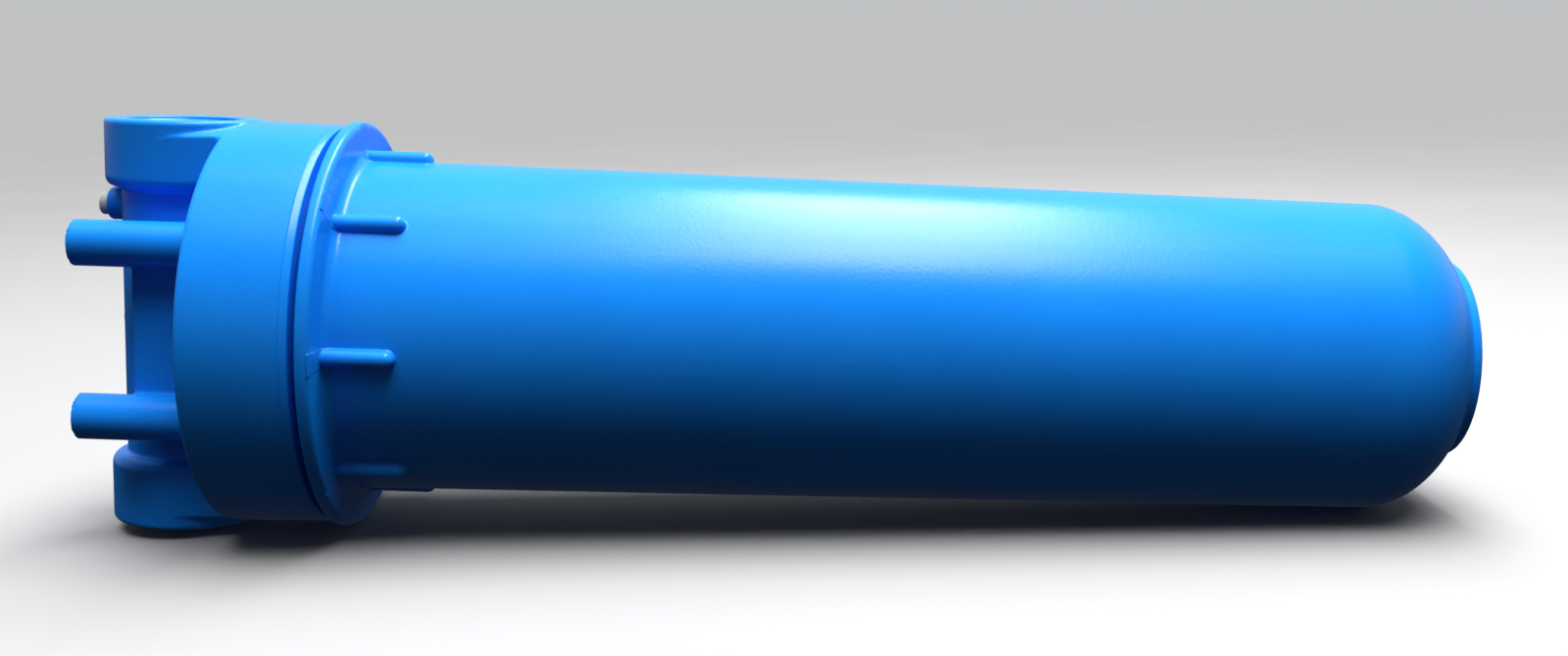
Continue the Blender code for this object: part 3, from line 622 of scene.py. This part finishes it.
def relief_screw(head_start, steel):
    """A pan-head screw with a cross recess and a rolled thread."""
    shank_radius, shank_end = SCREW_SHANK
    head_radius, head_height = SCREW_HEAD
    ridge_height, pitch = SCREW_RIDGE
    half_width, reach, depth = CROSS_RECESS
    head_end = head_start + head_height

    def distance(points):
        x, y, z = points.T
        out = np.hypot(x, y)
        ridge = ridge_height * np.cos(TURN * z / pitch - np.arctan2(y, x))
        shank = rod(out - ridge, z, shank_radius, shank_end, head_end - 0.5, 0.15)
        head = rod(out, z, head_radius, head_start, head_end, 0.5)
        crown = np.hypot(out, z - head_end + 2 * head_radius) - 2 * head_radius
        body = join(shank, keep(head, crown, 0.3), 0.15)
        slot = np.minimum(np.maximum(np.abs(x) - half_width, np.abs(y) - reach),
                          np.maximum(np.abs(y) - half_width, np.abs(x) - reach))
        return cut(body, np.maximum(slot, head_end - depth - z + out * 0.4), 0.08)

    low = (-head_radius - 0.5, -head_radius - 0.5, shank_end - 0.5)
    high = (head_radius + 0.5, head_radius + 0.5, head_end + 0.5)
    points, faces, normals = mesh_of(distance, low, high, SCREW_STEP)
    points = points + np.array((RELIEF_PLACE, 0, 0))
    add_piece("relief_screw_fine", points, faces, "relief_valve", "relief_screw", "stainless_steel",
              steel, normals)


def relief_spring(steel):
    """A coil with closed ends that flattens towards the floor of its pocket."""
    start = BUTTON_HEAD_END + RELIEF_GAP
    end = BUTTON_POCKET[1] - RELIEF_GAP
    closed = 0.08
    turned = np.linspace(0, 1, 161)
    angles = TURN * SPRING_TURNS * turned
    rise = end - start - 2 * SPRING_WIRE_RADIUS
    height = start + SPRING_WIRE_RADIUS + rise * share(turned, closed, 1 - 2 * closed)
    path = np.stack([RELIEF_PLACE + SPRING_RADIUS * np.cos(angles), SPRING_RADIUS * np.sin(angles),
                     height], axis=1)
    points, faces = swept(tube_sections(path, SPRING_WIRE_RADIUS, 10))
    spring = add_piece("relief_spring_fine", points, faces, "cap_body", "relief_spring",
                       "stainless_steel", steel)
    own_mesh(spring)


def tube_sections(path, radius, sides):
    """Round sections across a smooth path, turned as little as the path allows."""
    path = np.asarray(path, float)
    tangents = np.gradient(path, axis=0)
    tangents /= np.linalg.norm(tangents, axis=1, keepdims=True)
    across = np.cross(tangents[0], (0.3, 0.5, 0.8))
    angles = np.arange(sides) * TURN / sides
    sections = []
    for point, tangent in zip(path, tangents):
        across = across - tangent * (across @ tangent)
        across /= np.linalg.norm(across)
        beside = np.cross(tangent, across)
        sections.append(point + radius * (np.outer(np.cos(angles), across)
                                          + np.outer(np.sin(angles), beside)))
    return sections


# -------------------- sump

def tube_radius(z):
    """Outer radius of the tapered tube."""
    return TUBE_RADIUS + (DOME_RADIUS - TUBE_RADIUS) * (z - TUBE_START) / (DOME_START - TUBE_START)


def lug_angles():
    """Angles round the sump, close together on the lugs and at their sides."""
    sector = TURN / LUG_COUNT
    side = LUG_HALF_WIDTH
    stops = (0, side - 0.8, side, side + LUG_FILLET, sector * TUBE_RADIUS / 2)
    offsets = [np.linspace(a, b, count)[:-1] for a, b, count in zip(stops, stops[1:], (8, 7, 6, 9))]
    offsets = np.concatenate(offsets)
    one_sector = np.concatenate([[-stops[-1]], -offsets[:0:-1], offsets]) / TUBE_RADIUS
    return np.concatenate([FIRST_LUG + one_sector + sector * i for i in range(LUG_COUNT)])


def with_lugs(radius, height, angles):
    """The sump's radii raised to the lugs, which run into the flange and end round."""
    sector = TURN / LUG_COUNT
    beside = (angles - FIRST_LUG + sector / 2) % sector - sector / 2
    sideways = LUG_TOP_RADIUS * np.sin(beside)[None, :]
    beyond = np.maximum(height - (LUG_END - LUG_HALF_WIDTH), 0)
    away = np.hypot(sideways, beyond)
    over_edge = np.clip(away - LUG_HALF_WIDTH + LUG_ROUND, 0, LUG_ROUND)
    top = LUG_TOP_RADIUS - LUG_ROUND + np.sqrt(LUG_ROUND ** 2 - over_edge ** 2)
    near = np.clip(LUG_HALF_WIDTH + LUG_FILLET - away, 0, LUG_FILLET)
    fillet = radius + LUG_FILLET - np.sqrt(LUG_FILLET ** 2 - near ** 2)
    raised = np.where(away < LUG_HALF_WIDTH, np.maximum(top, fillet), fillet)
    on_tube = (radius > RIM_BORE_RADIUS + 2) & (height > FLANGE_FACE) & (height < LUG_END + 2)
    return np.where(on_tube, np.maximum(radius, raised), radius)


def finer(outline, start, spacing):
    """The outline with long straight steps beyond a height divided."""
    points = [outline[0]]
    for here, after in zip(outline, outline[1:]):
        parts = math.ceil(np.hypot(*(after - here)) / spacing) if here[1] > start else 1
        points += [here + (after - here) * k / parts for k in range(1, parts + 1)]
    return points


def sump_outline():
    """Neck, groove, flange, tube, dome and foot ring, then back along the inside."""
    groove_start, groove_end, groove_radius = SEAL_GROOVE
    foot_inner, foot_outer = FOOT_RADII
    foot_angle = math.acos(foot_outer / DOME_RADIUS)
    crease = DOME_START + DOME_DEPTH * math.sin(foot_angle)
    collar = rounded([
        (RIM_BORE_RADIUS, SUMP_RIM, 0.8), (NECK_RADIUS, SUMP_RIM, 1.2),
        (NECK_RADIUS, groove_start, 0.3), (groove_radius, groove_start, 0.5),
        (groove_radius, groove_end, 0.5), (NECK_RADIUS, groove_end, 0.3),
        (NECK_RADIUS, FLANGE_START, 1.0), (FLANGE_RADIUS, FLANGE_START, 1.2),
        (FLANGE_RADIUS, FLANGE_FACE + 0.3, 2.8), (TUBE_RADIUS, FLANGE_CONE_END, FLANGE_FILLET),
        (tube_radius(LUG_END), LUG_END, 0),
    ], closed=False)[:-1]
    collar = finer(collar, FLANGE_FACE, 0.9)
    round_end = LUG_END - LUG_HALF_WIDTH
    rows = [*np.arange(TUBE_START, round_end, 3.0), *np.arange(round_end, LUG_END - 1.2, 0.4),
            *np.arange(LUG_END - 1.2, LUG_END + 1.2, 0.13), *np.linspace(155, DOME_START, 15)[:-1]]
    tube = [np.array((tube_radius(z), z)) for z in rows]
    dome = ellipse_arc((0, DOME_START), (DOME_RADIUS, DOME_DEPTH), 0, foot_angle, 28)
    foot = rounded([
        (foot_outer + 3, crease - 2.0, 0), (foot_outer, crease, 0.7), (foot_outer, FOOT_END, 1.4),
        (foot_inner, FOOT_END, 1.4), (foot_inner, FOOT_FLOOR, 1.0), (0, FOOT_FLOOR, 0),
    ], closed=False)[1:]
    bore_radii = (DOME_RADIUS - WALL, DOME_DEPTH - WALL)
    floor_angle = math.asin((SUMP_FLOOR - DOME_START) / bore_radii[1])
    inside = [np.array((0, SUMP_FLOOR))]
    inside += ellipse_arc((0, DOME_START), bore_radii, floor_angle, 0, 14)
    inside += [np.array((TUBE_RADIUS - WALL, TUBE_START))]
    return collar, tube + dome[:-1] + foot, inside


def sump_shell(plastic):
    """The sump's wall with its wrench lugs, as one closed solid: two skins that meet at the rim."""
    collar, outside, inside = sump_outline()
    angles = lug_angles()
    columns = len(angles)
    outer_rows = len(collar) + len(outside) - 1
    rings = np.vstack([collar, outside[:-1], inside[1:]])
    height = rings[:, 1:]
    points = ring_points(with_lugs(rings[:, :1], height, angles), height, angles)
    quads = grid_faces(len(rings), columns, closed=True).reshape(len(rings), columns, 4)
    faces = np.delete(quads, outer_rows - 1, axis=0).reshape(-1, 4).tolist()
    faces += fan((outer_rows - 1) * columns, columns, len(points))
    faces += [face[::-1] for face in fan(outer_rows * columns, columns, len(points) + 1)]
    points = np.vstack([points, (0, 0, outside[-1][1]), (0, 0, inside[0][1])])
    add_piece("sump_shell", points, facing_out(points, faces), *SUMP_PIECE, plastic)


def sump_thread(plastic):
    """The male half of the main thread."""
    points, faces = thread_ridge(NECK_RADIUS, NECK_RADIUS + THREAD_HEIGHT, *SUMP_THREAD)
    add_piece("sump_thread", points, faces, *SUMP_PIECE, plastic)


def sump_inside(plastic):
    """The seat and the ribs on the sump's floor that carry the cartridge."""
    well_radius, seat_radius = SEAT_RADII
    seat_top = CARTRIDGE_END + RELIEF_GAP
    root = SUMP_FLOOR + 1
    seat = rounded([(well_radius, seat_top, 0.6), (seat_radius, seat_top, 0.6),
                    (seat_radius + 0.4, root, 0), (well_radius - 0.2, root, 0)])
    turned_piece("sump_seat", seat, *SUMP_PIECE, plastic, 96)
    thickness, reach, height = FIN_SIZE
    half = thickness / 2
    top = SUMP_FLOOR - height
    section = rounded([(-half, root, 0), (-half + 0.2, top, 1.0), (half - 0.2, top, 1.0),
                       (half, root, 0)])
    sections = []
    for place, shrink in ((seat_radius - 1, 0), (reach - 1, 0), (reach - 0.3, 0.3), (reach, 1.0)):
        sections.append([(place, max(abs(u) - shrink, 0.2) * math.copysign(1, u),
                          max(v, top + shrink)) for u, v in section])
    fin, quads = swept(sections)
    points, faces = [], []
    for number in range(FIN_COUNT):
        turn = np.array(Matrix.Rotation(TURN * (number + 0.25) / FIN_COUNT, 3, "Z"))
        points.append(fin @ turn.T)
        faces += [[corner + number * len(fin) for corner in quad] for quad in quads]
    add_piece("sump_floor_ribs", np.vstack(points), faces, *SUMP_PIECE, plastic)


def housing_seal(rubber):
    """The O-ring in the groove of the sump's neck."""
    groove_start, groove_end, groove_radius = SEAL_GROOVE
    section = seal_section(groove_radius + RELIEF_GAP + SEAL_SECTION_RADIUS, SEAL_SECTION_RADIUS,
                           (groove_start + groove_end) / 2)
    turned_piece("housing_o_ring_fine", section, "sump_body", "housing_o_ring", "black_rubber",
                 rubber)


# -------------------- cartridge

def at_other_end(outline):
    """The same section at the other end of the cartridge."""
    return [np.array((radius, CARTRIDGE_START + CARTRIDGE_END - z)) for radius, z in outline]


def cartridge_ends(rubber, plastic):
    """The gaskets with their sealing beads and the end caps with their skirts."""
    bore, rim = GASKET_RADII
    bead = 0.5
    start = CARTRIDGE_START
    corners = [(bore, start + bead, 0.3)]
    for middle in (bore + 1.6, bore + 4.8):
        corners += [(middle - bead, start + bead, 0.1), (middle - bead * 0.4, start, 0.15),
                    (middle + bead * 0.4, start, 0.15), (middle + bead, start + bead, 0.1)]
    corners += [(rim, start + bead, 0.4), (rim, start + GASKET_THICKNESS, 0.2),
                (bore, start + GASKET_THICKNESS, 0.2)]
    gasket = rounded(corners)
    cap_start = start + GASKET_THICKNESS + RELIEF_GAP
    cap_end = cap_start + END_CAP_THICKNESS
    skirt, skirt_height = END_CAP_SKIRT
    inner = END_CAP_RADIUS - skirt
    corners = [(bore, cap_start, 0.4)]
    for groove in (rim + 1.2, inner - 5.0):
        corners += [(groove, cap_start, 0.2), (groove + 0.6, cap_start + 0.7, 0.2),
                    (groove + 2.2, cap_start + 0.7, 0.2), (groove + 2.8, cap_start, 0.2)]
    corners += [(END_CAP_RADIUS, cap_start, 1.6), (END_CAP_RADIUS, cap_end + skirt_height, 0.4),
                (inner, cap_end + skirt_height, 0.4), (inner, cap_end, 0.8), (bore, cap_end, 0.4)]
    end_cap = rounded(corners)
    for place, placed in (("upper", list), ("lower", at_other_end)):
        turned_piece(f"gasket_{place}", placed(gasket), "cartridge", f"cartridge_gasket_{place}",
                     "black_rubber", rubber, 96)
        turned_piece(f"end_cap_{place}", placed(end_cap), "cartridge",
                     f"cartridge_end_cap_{place}", "white_plastic", plastic, 144)
    return cap_end + RELIEF_GAP, CARTRIDGE_START + CARTRIDGE_END - cap_end - RELIEF_GAP


def cartridge_core(ends, plastic):
    """A tube with rows of rounded windows: a lattice given a thickness and softened."""
    round_count, row_count = CORE_WINDOWS
    start, end = ends
    cells = 6                   # across one window with its bars, each way
    columns = round_count * cells
    pitch = (end - start) / row_count
    shares = (0.0, 0.12, 0.24, 0.5, 0.76, 0.88)
    levels = [start + pitch * (row + part) for row in range(row_count) for part in shares] + [end]
    points = ring_points(CORE_RADIUS, np.array(levels)[:, None], np.arange(columns) * TURN / columns)
    faces = grid_faces(len(levels), columns, closed=False)
    row, column = np.divmod(np.arange(len(faces)), columns)
    in_window = (row % cells > 0) & (row % cells < 5) & (column % cells > 0) & (column % cells < 5)
    core = add_piece("core_tube", points, faces[~in_window].tolist(), "cartridge", "cartridge_core",
                     "white_plastic", plastic)
    wall = core.modifiers.new("wall", "SOLIDIFY")
    wall.thickness = CORE_WALL * MM
    wall.offset = -1
    soft = core.modifiers.new("soft", "SUBSURF")
    soft.levels = soft.render_levels = 1


def fold_circles():
    """Centre, radius and sense of turn of each fold of the media, inner and outer by turns."""
    half = PLEAT_THICKNESS / 2
    circles = []
    for i in range(2 * PLEAT_COUNT):
        angle = TURN * i / (2 * PLEAT_COUNT)
        fold = PLEAT_FOLDS[i % 2]
        reach = PLEAT_RADII[1] - half - fold if i % 2 else PLEAT_RADII[0] + half + fold
        center = np.array((reach * math.cos(angle), reach * math.sin(angle)))
        circles.append((center, fold, 1 if i % 2 else -1))
    return circles


def folded_path(circles, steps=9):
    """Points and headings of the line that runs round each circle and straight to the next."""
    headings = []
    for i, (center, radius, sense) in enumerate(circles):
        after_center, after_radius, after_sense = circles[(i + 1) % len(circles)]
        across = after_center - center
        lean = math.asin((after_sense * after_radius - sense * radius) / np.hypot(*across))
        headings.append(math.atan2(across[1], across[0]) - lean)
    points, directions = [], []
    for i, (center, radius, sense) in enumerate(circles):
        turn = sense * ((sense * (headings[i] - headings[i - 1])) % TURN)
        for k in range(steps + 1):
            heading = headings[i - 1] + turn * k / steps
            side = np.array((math.sin(heading), -math.cos(heading)))
            points.append(center + sense * radius * side)
            directions.append(side)
    return np.array(points), np.array(directions)


def cartridge_media(ends, fabric):
    """The folded media: a band of even thickness with round folds that sway a little."""
    middle, side = folded_path(fold_circles())
    half = side * PLEAT_THICKNESS / 2
    start, end = ends
    levels = np.linspace(start, end, 13)
    rows = []
    for skin, heights in ((middle + half, levels), (middle - half, levels[::-1])):
        for z in heights:
            sway = 0.006 * math.sin((z - start) / 37) + 0.004 * math.sin((z - start) / 17 + 1)
            turn = np.array(Matrix.Rotation(sway, 2))
            rows.append(np.hstack([skin @ turn.T, np.full((len(skin), 1), z)]))
    points = np.vstack(rows)
    faces = grid_faces(len(rows), len(middle), closed=True).tolist()
    add_piece("pleated_media", points, facing_out(points, faces), "cartridge", "cartridge_media",
              "white_media", fabric)


def cartridge_net(ends, plastic):
    """The extruded net round the media: two families of helical strands fused where they cross."""
    start, end = ends
    length = end - start
    turns = length / (TURN * NET_RADIUS)
    steps = 120
    points, faces, first = [], [], 0
    for direction in (-1, 1):
        radius = NET_RADIUS - NET_STRAND * (1.0 if direction > 0 else 1.9)
        for strand in range(NET_COUNT):
            run = np.linspace(0, 1, steps + 1)
            angles = TURN * strand / NET_COUNT + direction * TURN * turns * run
            path = np.stack([radius * np.cos(angles), radius * np.sin(angles),
                             start + length * run], axis=1)
            tube, quads = swept(tube_sections(path, NET_STRAND, 6))
            points.append(tube)
            faces += [[corner + first for corner in quad] for quad in quads]
            first += len(tube)
    add_piece("outer_net", np.vstack(points), faces, "cartridge", "cartridge_net", "white_plastic",
              plastic)


# -------------------- materials

def mottled(name, tones, scale, detail=4.0):
    """A material whose colour wanders between two tones; also its tree, shader and coordinates."""
    material = bpy.data.materials.new(name)
    material.use_nodes = True
    tree = material.node_tree
    shader = tree.nodes["Principled BSDF"]
    coordinates = tree.nodes.new("ShaderNodeTexCoord").outputs["Object"]
    blend = tree.nodes.new("ShaderNodeValToRGB")
    for element, position, tone in zip(blend.color_ramp.elements, (0.3, 0.7), tones):
        element.position = position
        element.color = (*tone, 1.0)
    tree.links.new(noise(tree, coordinates, scale, detail), blend.inputs["Fac"])
    tree.links.new(blend.outputs["Color"], shader.inputs["Base Color"])
    return material, tree, shader, coordinates


def noise(tree, coordinates, scale, detail=3.0, roughness=0.55):
    """A noise texture's value over object coordinates, with scale in features per metre."""
    node = tree.nodes.new("ShaderNodeTexNoise")
    node.inputs["Scale"].default_value = scale
    node.inputs["Detail"].default_value = detail
    node.inputs["Roughness"].default_value = roughness
    tree.links.new(coordinates, node.inputs["Vector"])
    return node.outputs["Fac"]


def map_range(tree, value, span, low, high, interpolation="LINEAR"):
    """A span of a value mapped to low..high, which are numbers or the outputs of other nodes."""
    node = tree.nodes.new("ShaderNodeMapRange")
    node.interpolation_type = interpolation
    names = ("Value", "From Min", "From Max", "To Min", "To Max")
    for name, source in zip(names, (value, *span, low, high)):
        if isinstance(source, float):
            node.inputs[name].default_value = source
        else:
            tree.links.new(source, node.inputs[name])
    return node.outputs["Result"]


def uneven_roughness(tree, shader, coordinates, scale, low, high):
    """A roughness that varies in patches between two values."""
    patches = noise(tree, coordinates, scale, 5.0, 0.65)
    roughness = map_range(tree, patches, (0.0, 1.0), low, high)
    tree.links.new(roughness, shader.inputs["Roughness"])


def bump(tree, height, strength, distance, normal=None):
    """A bump from a height, on top of another normal."""
    node = tree.nodes.new("ShaderNodeBump")
    node.inputs["Strength"].default_value = strength
    node.inputs["Distance"].default_value = distance
    tree.links.new(height, node.inputs["Height"])
    if normal is not None:
        tree.links.new(normal, node.inputs["Normal"])
    return node.outputs["Normal"]


def grained(name, tones, roughness, mottle_scale, grain_scale, grain_depth):
    """A material with a mottled colour, uneven roughness and a fine grain, and its shader."""
    material, tree, shader, coordinates = mottled(name, tones, mottle_scale)
    uneven_roughness(tree, shader, coordinates, mottle_scale * 4, *roughness)
    grain = noise(tree, coordinates, grain_scale, 2.0)
    tree.links.new(bump(tree, grain, 1.0, grain_depth), shader.inputs["Normal"])
    return material, shader


def blue_polypropylene():
    """Satin blue polypropylene with the fine grain of a textured mould."""
    tones = ((0.0045, 0.215, 0.80), (0.0065, 0.235, 0.87))
    material, tree, shader, coordinates = mottled("satin_blue_polypropylene", tones, 14.0)
    uneven_roughness(tree, shader, coordinates, 55.0, 0.24, 0.31)
    waves = bump(tree, noise(tree, coordinates, 110.0, 2.0), 0.5, 0.00005)
    grain = bump(tree, noise(tree, coordinates, 750.0, 3.0), 1.0, 0.00007, waves)
    tree.links.new(grain, shader.inputs["Normal"])
    shader.inputs["IOR"].default_value = 1.49
    shader.inputs["Specular IOR Level"].default_value = 0.32
    return material


def white_button_plastic():
    """Pale acetal of the push button."""
    tones = ((0.56, 0.56, 0.55), (0.64, 0.64, 0.62))
    return grained("white_acetal", tones, (0.32, 0.42), 120.0, 2500.0, 0.00001)[0]


def white_cartridge_plastic():
    """Natural white polypropylene of the cartridge's end caps, core and net."""
    tones = ((0.70, 0.71, 0.70), (0.78, 0.78, 0.76))
    material, shader = grained("white_polypropylene", tones, (0.38, 0.52), 60.0, 1400.0, 0.00003)
    shader.inputs["Subsurface Weight"].default_value = 0.15
    shader.inputs["Subsurface Radius"].default_value = (0.003, 0.003, 0.003)
    return material


def black_rubber():
    """Matt black rubber with a bloom of paler patches."""
    tones = ((0.012, 0.012, 0.013), (0.028, 0.028, 0.030))
    return grained("black_rubber_seal", tones, (0.48, 0.66), 90.0, 1800.0, 0.00002)[0]


def stainless_steel():
    """Bright steel with fine unevenness."""
    tones = ((0.52, 0.52, 0.51), (0.62, 0.62, 0.61))
    material, shader = grained("bright_stainless_steel", tones, (0.18, 0.34), 400.0, 5000.0, 0.000004)
    shader.inputs["Metallic"].default_value = 1.0
    return material


def pleated_fabric():
    """White non-woven polyester: a felt of fine fibres."""
    tones = ((0.74, 0.74, 0.71), (0.84, 0.84, 0.81))
    material, tree, shader, coordinates = mottled("white_nonwoven_media", tones, 45.0)
    shader.inputs["Roughness"].default_value = 0.9
    shader.inputs["Sheen Weight"].default_value = 0.2
    stretch = tree.nodes.new("ShaderNodeMapping")
    stretch.inputs["Scale"].default_value = (1.0, 1.0, 0.25)
    tree.links.new(coordinates, stretch.inputs["Vector"])
    dimples = bump(tree, noise(tree, coordinates, 500.0, 2.0), 0.6, 0.0001)
    fibres = noise(tree, stretch.outputs["Vector"], 2600.0, 4.0, 0.7)
    tree.links.new(bump(tree, fibres, 0.8, 0.00006, dimples), shader.inputs["Normal"])
    return material


def floor_material():
    """A plain pale surface with the slightest unevenness."""
    tones = ((0.345, 0.345, 0.348), (0.36, 0.36, 0.363))
    material, _, shader, _ = mottled("pale_floor", tones, 3.0, 2.0)
    shader.inputs["Roughness"].default_value = 0.9
    shader.inputs["Specular IOR Level"].default_value = 0.2
    return material


# -------------------- floor, light and camera

def add_object(name, data):
    """A mesh, a light or a camera, placed in the scene."""
    item = bpy.data.objects.new(name, data)
    bpy.context.scene.collection.objects.link(item)
    return item


def build_floor():
    """A wide pale floor that throws no light back onto the housing."""
    half = FLOOR_HALF
    mesh = bpy.data.meshes.new("floor")
    mesh.from_pydata([(-half, -half, 0), (half, -half, 0), (half, half, 0), (-half, half, 0)], [],
                     [(0, 1, 2, 3)])
    mesh.materials.append(floor_material())
    floor = add_object("floor", mesh)
    floor.visible_diffuse = False
    floor.visible_glossy = False


def build_room():
    """A room that is pale behind, dim in front and dark below; the camera sees one pale tone."""
    world = bpy.data.worlds.new("room")
    world.use_nodes = True
    tree = world.node_tree

    split = tree.nodes.new("ShaderNodeSeparateXYZ")
    direction = tree.nodes.new("ShaderNodeTexCoord").outputs["Generated"]
    tree.links.new(direction, split.inputs["Vector"])
    walls = map_range(tree, split.outputs["Y"], (-0.3, 0.8), ROOM_IN_FRONT, ROOM_BEHIND,
                      "SMOOTHSTEP")
    room = map_range(tree, split.outputs["Z"], (-0.03, -0.004), ROOM_BELOW, walls)
    by_camera = tree.nodes.new("ShaderNodeLightPath").outputs["Is Camera Ray"]
    seen = map_range(tree, by_camera, (0.0, 1.0), room, ROOM_BEHIND)
    background = tree.nodes["Background"]
    background.inputs["Color"].default_value = (0.97, 0.98, 1.0, 1.0)
    tree.links.new(seen, background.inputs["Strength"])
    bpy.context.scene.world = world


def build_light():
    """A long panel above the housing, and a wide soft ceiling that leaves no glare."""
    light = bpy.data.lights.new("panel", "AREA")
    light.shape = "RECTANGLE"
    light.size, light.size_y = PANEL_SIZE
    light.energy = PANEL_POWER
    panel = add_object("panel", light)
    panel.location = PANEL_PLACE
    panel.visible_camera = False
    sky = bpy.data.lights.new("ceiling", "SUN")
    sky.energy = CEILING_POWER
    sky.angle = CEILING_SPREAD
    ceiling = add_object("ceiling", sky)
    ceiling.rotation_euler = (CEILING_LEAN, 0, 0)
    ceiling.visible_glossy = False


def build_camera():
    """The camera, in the row frame: in front of the housing and a little above it."""
    camera = add_object("camera", bpy.data.cameras.new("camera"))
    camera.data.lens, camera.data.sensor_width = CAMERA_LENS
    camera.data.shift_x, camera.data.shift_y = CAMERA_SHIFT
    camera.data.clip_start = 0.01
    yaw, pitch, roll = (math.radians(angle) for angle in CAMERA_TURN)
    turn = Matrix.Rotation(yaw, 4, "Z") @ Matrix.Rotation(math.pi / 2 + pitch, 4, "X")
    camera.matrix_world = (Matrix.Translation(CAMERA_PLACE) @ turn
                           @ Matrix.Rotation(roll, 4, "Z"))
    bpy.context.scene.camera = camera


# -------------------- everything

def main():
    """Build the looks of every piece, then the room round them."""
    bpy.context.scene.view_settings.view_transform = "Standard"
    build_camera()
    build_room()
    build_light()
    build_floor()
    blue = blue_polypropylene()
    rubber = black_rubber()
    cap_head(blue)
    cap_ring(blue)
    threaded_socket("cap_inlet_thread", -1, blue)
    threaded_socket("cap_outlet_thread", 1, blue)
    cap_thread(blue)
    relief_valve(white_button_plastic(), rubber, stainless_steel())
    sump_shell(blue)
    sump_thread(blue)
    sump_inside(blue)
    housing_seal(rubber)
    white = white_cartridge_plastic()
    media_ends = cartridge_ends(rubber, white)
    cartridge_core(media_ends, white)
    cartridge_media(media_ends, pleated_fabric())
    cartridge_net(media_ends, white)


main()
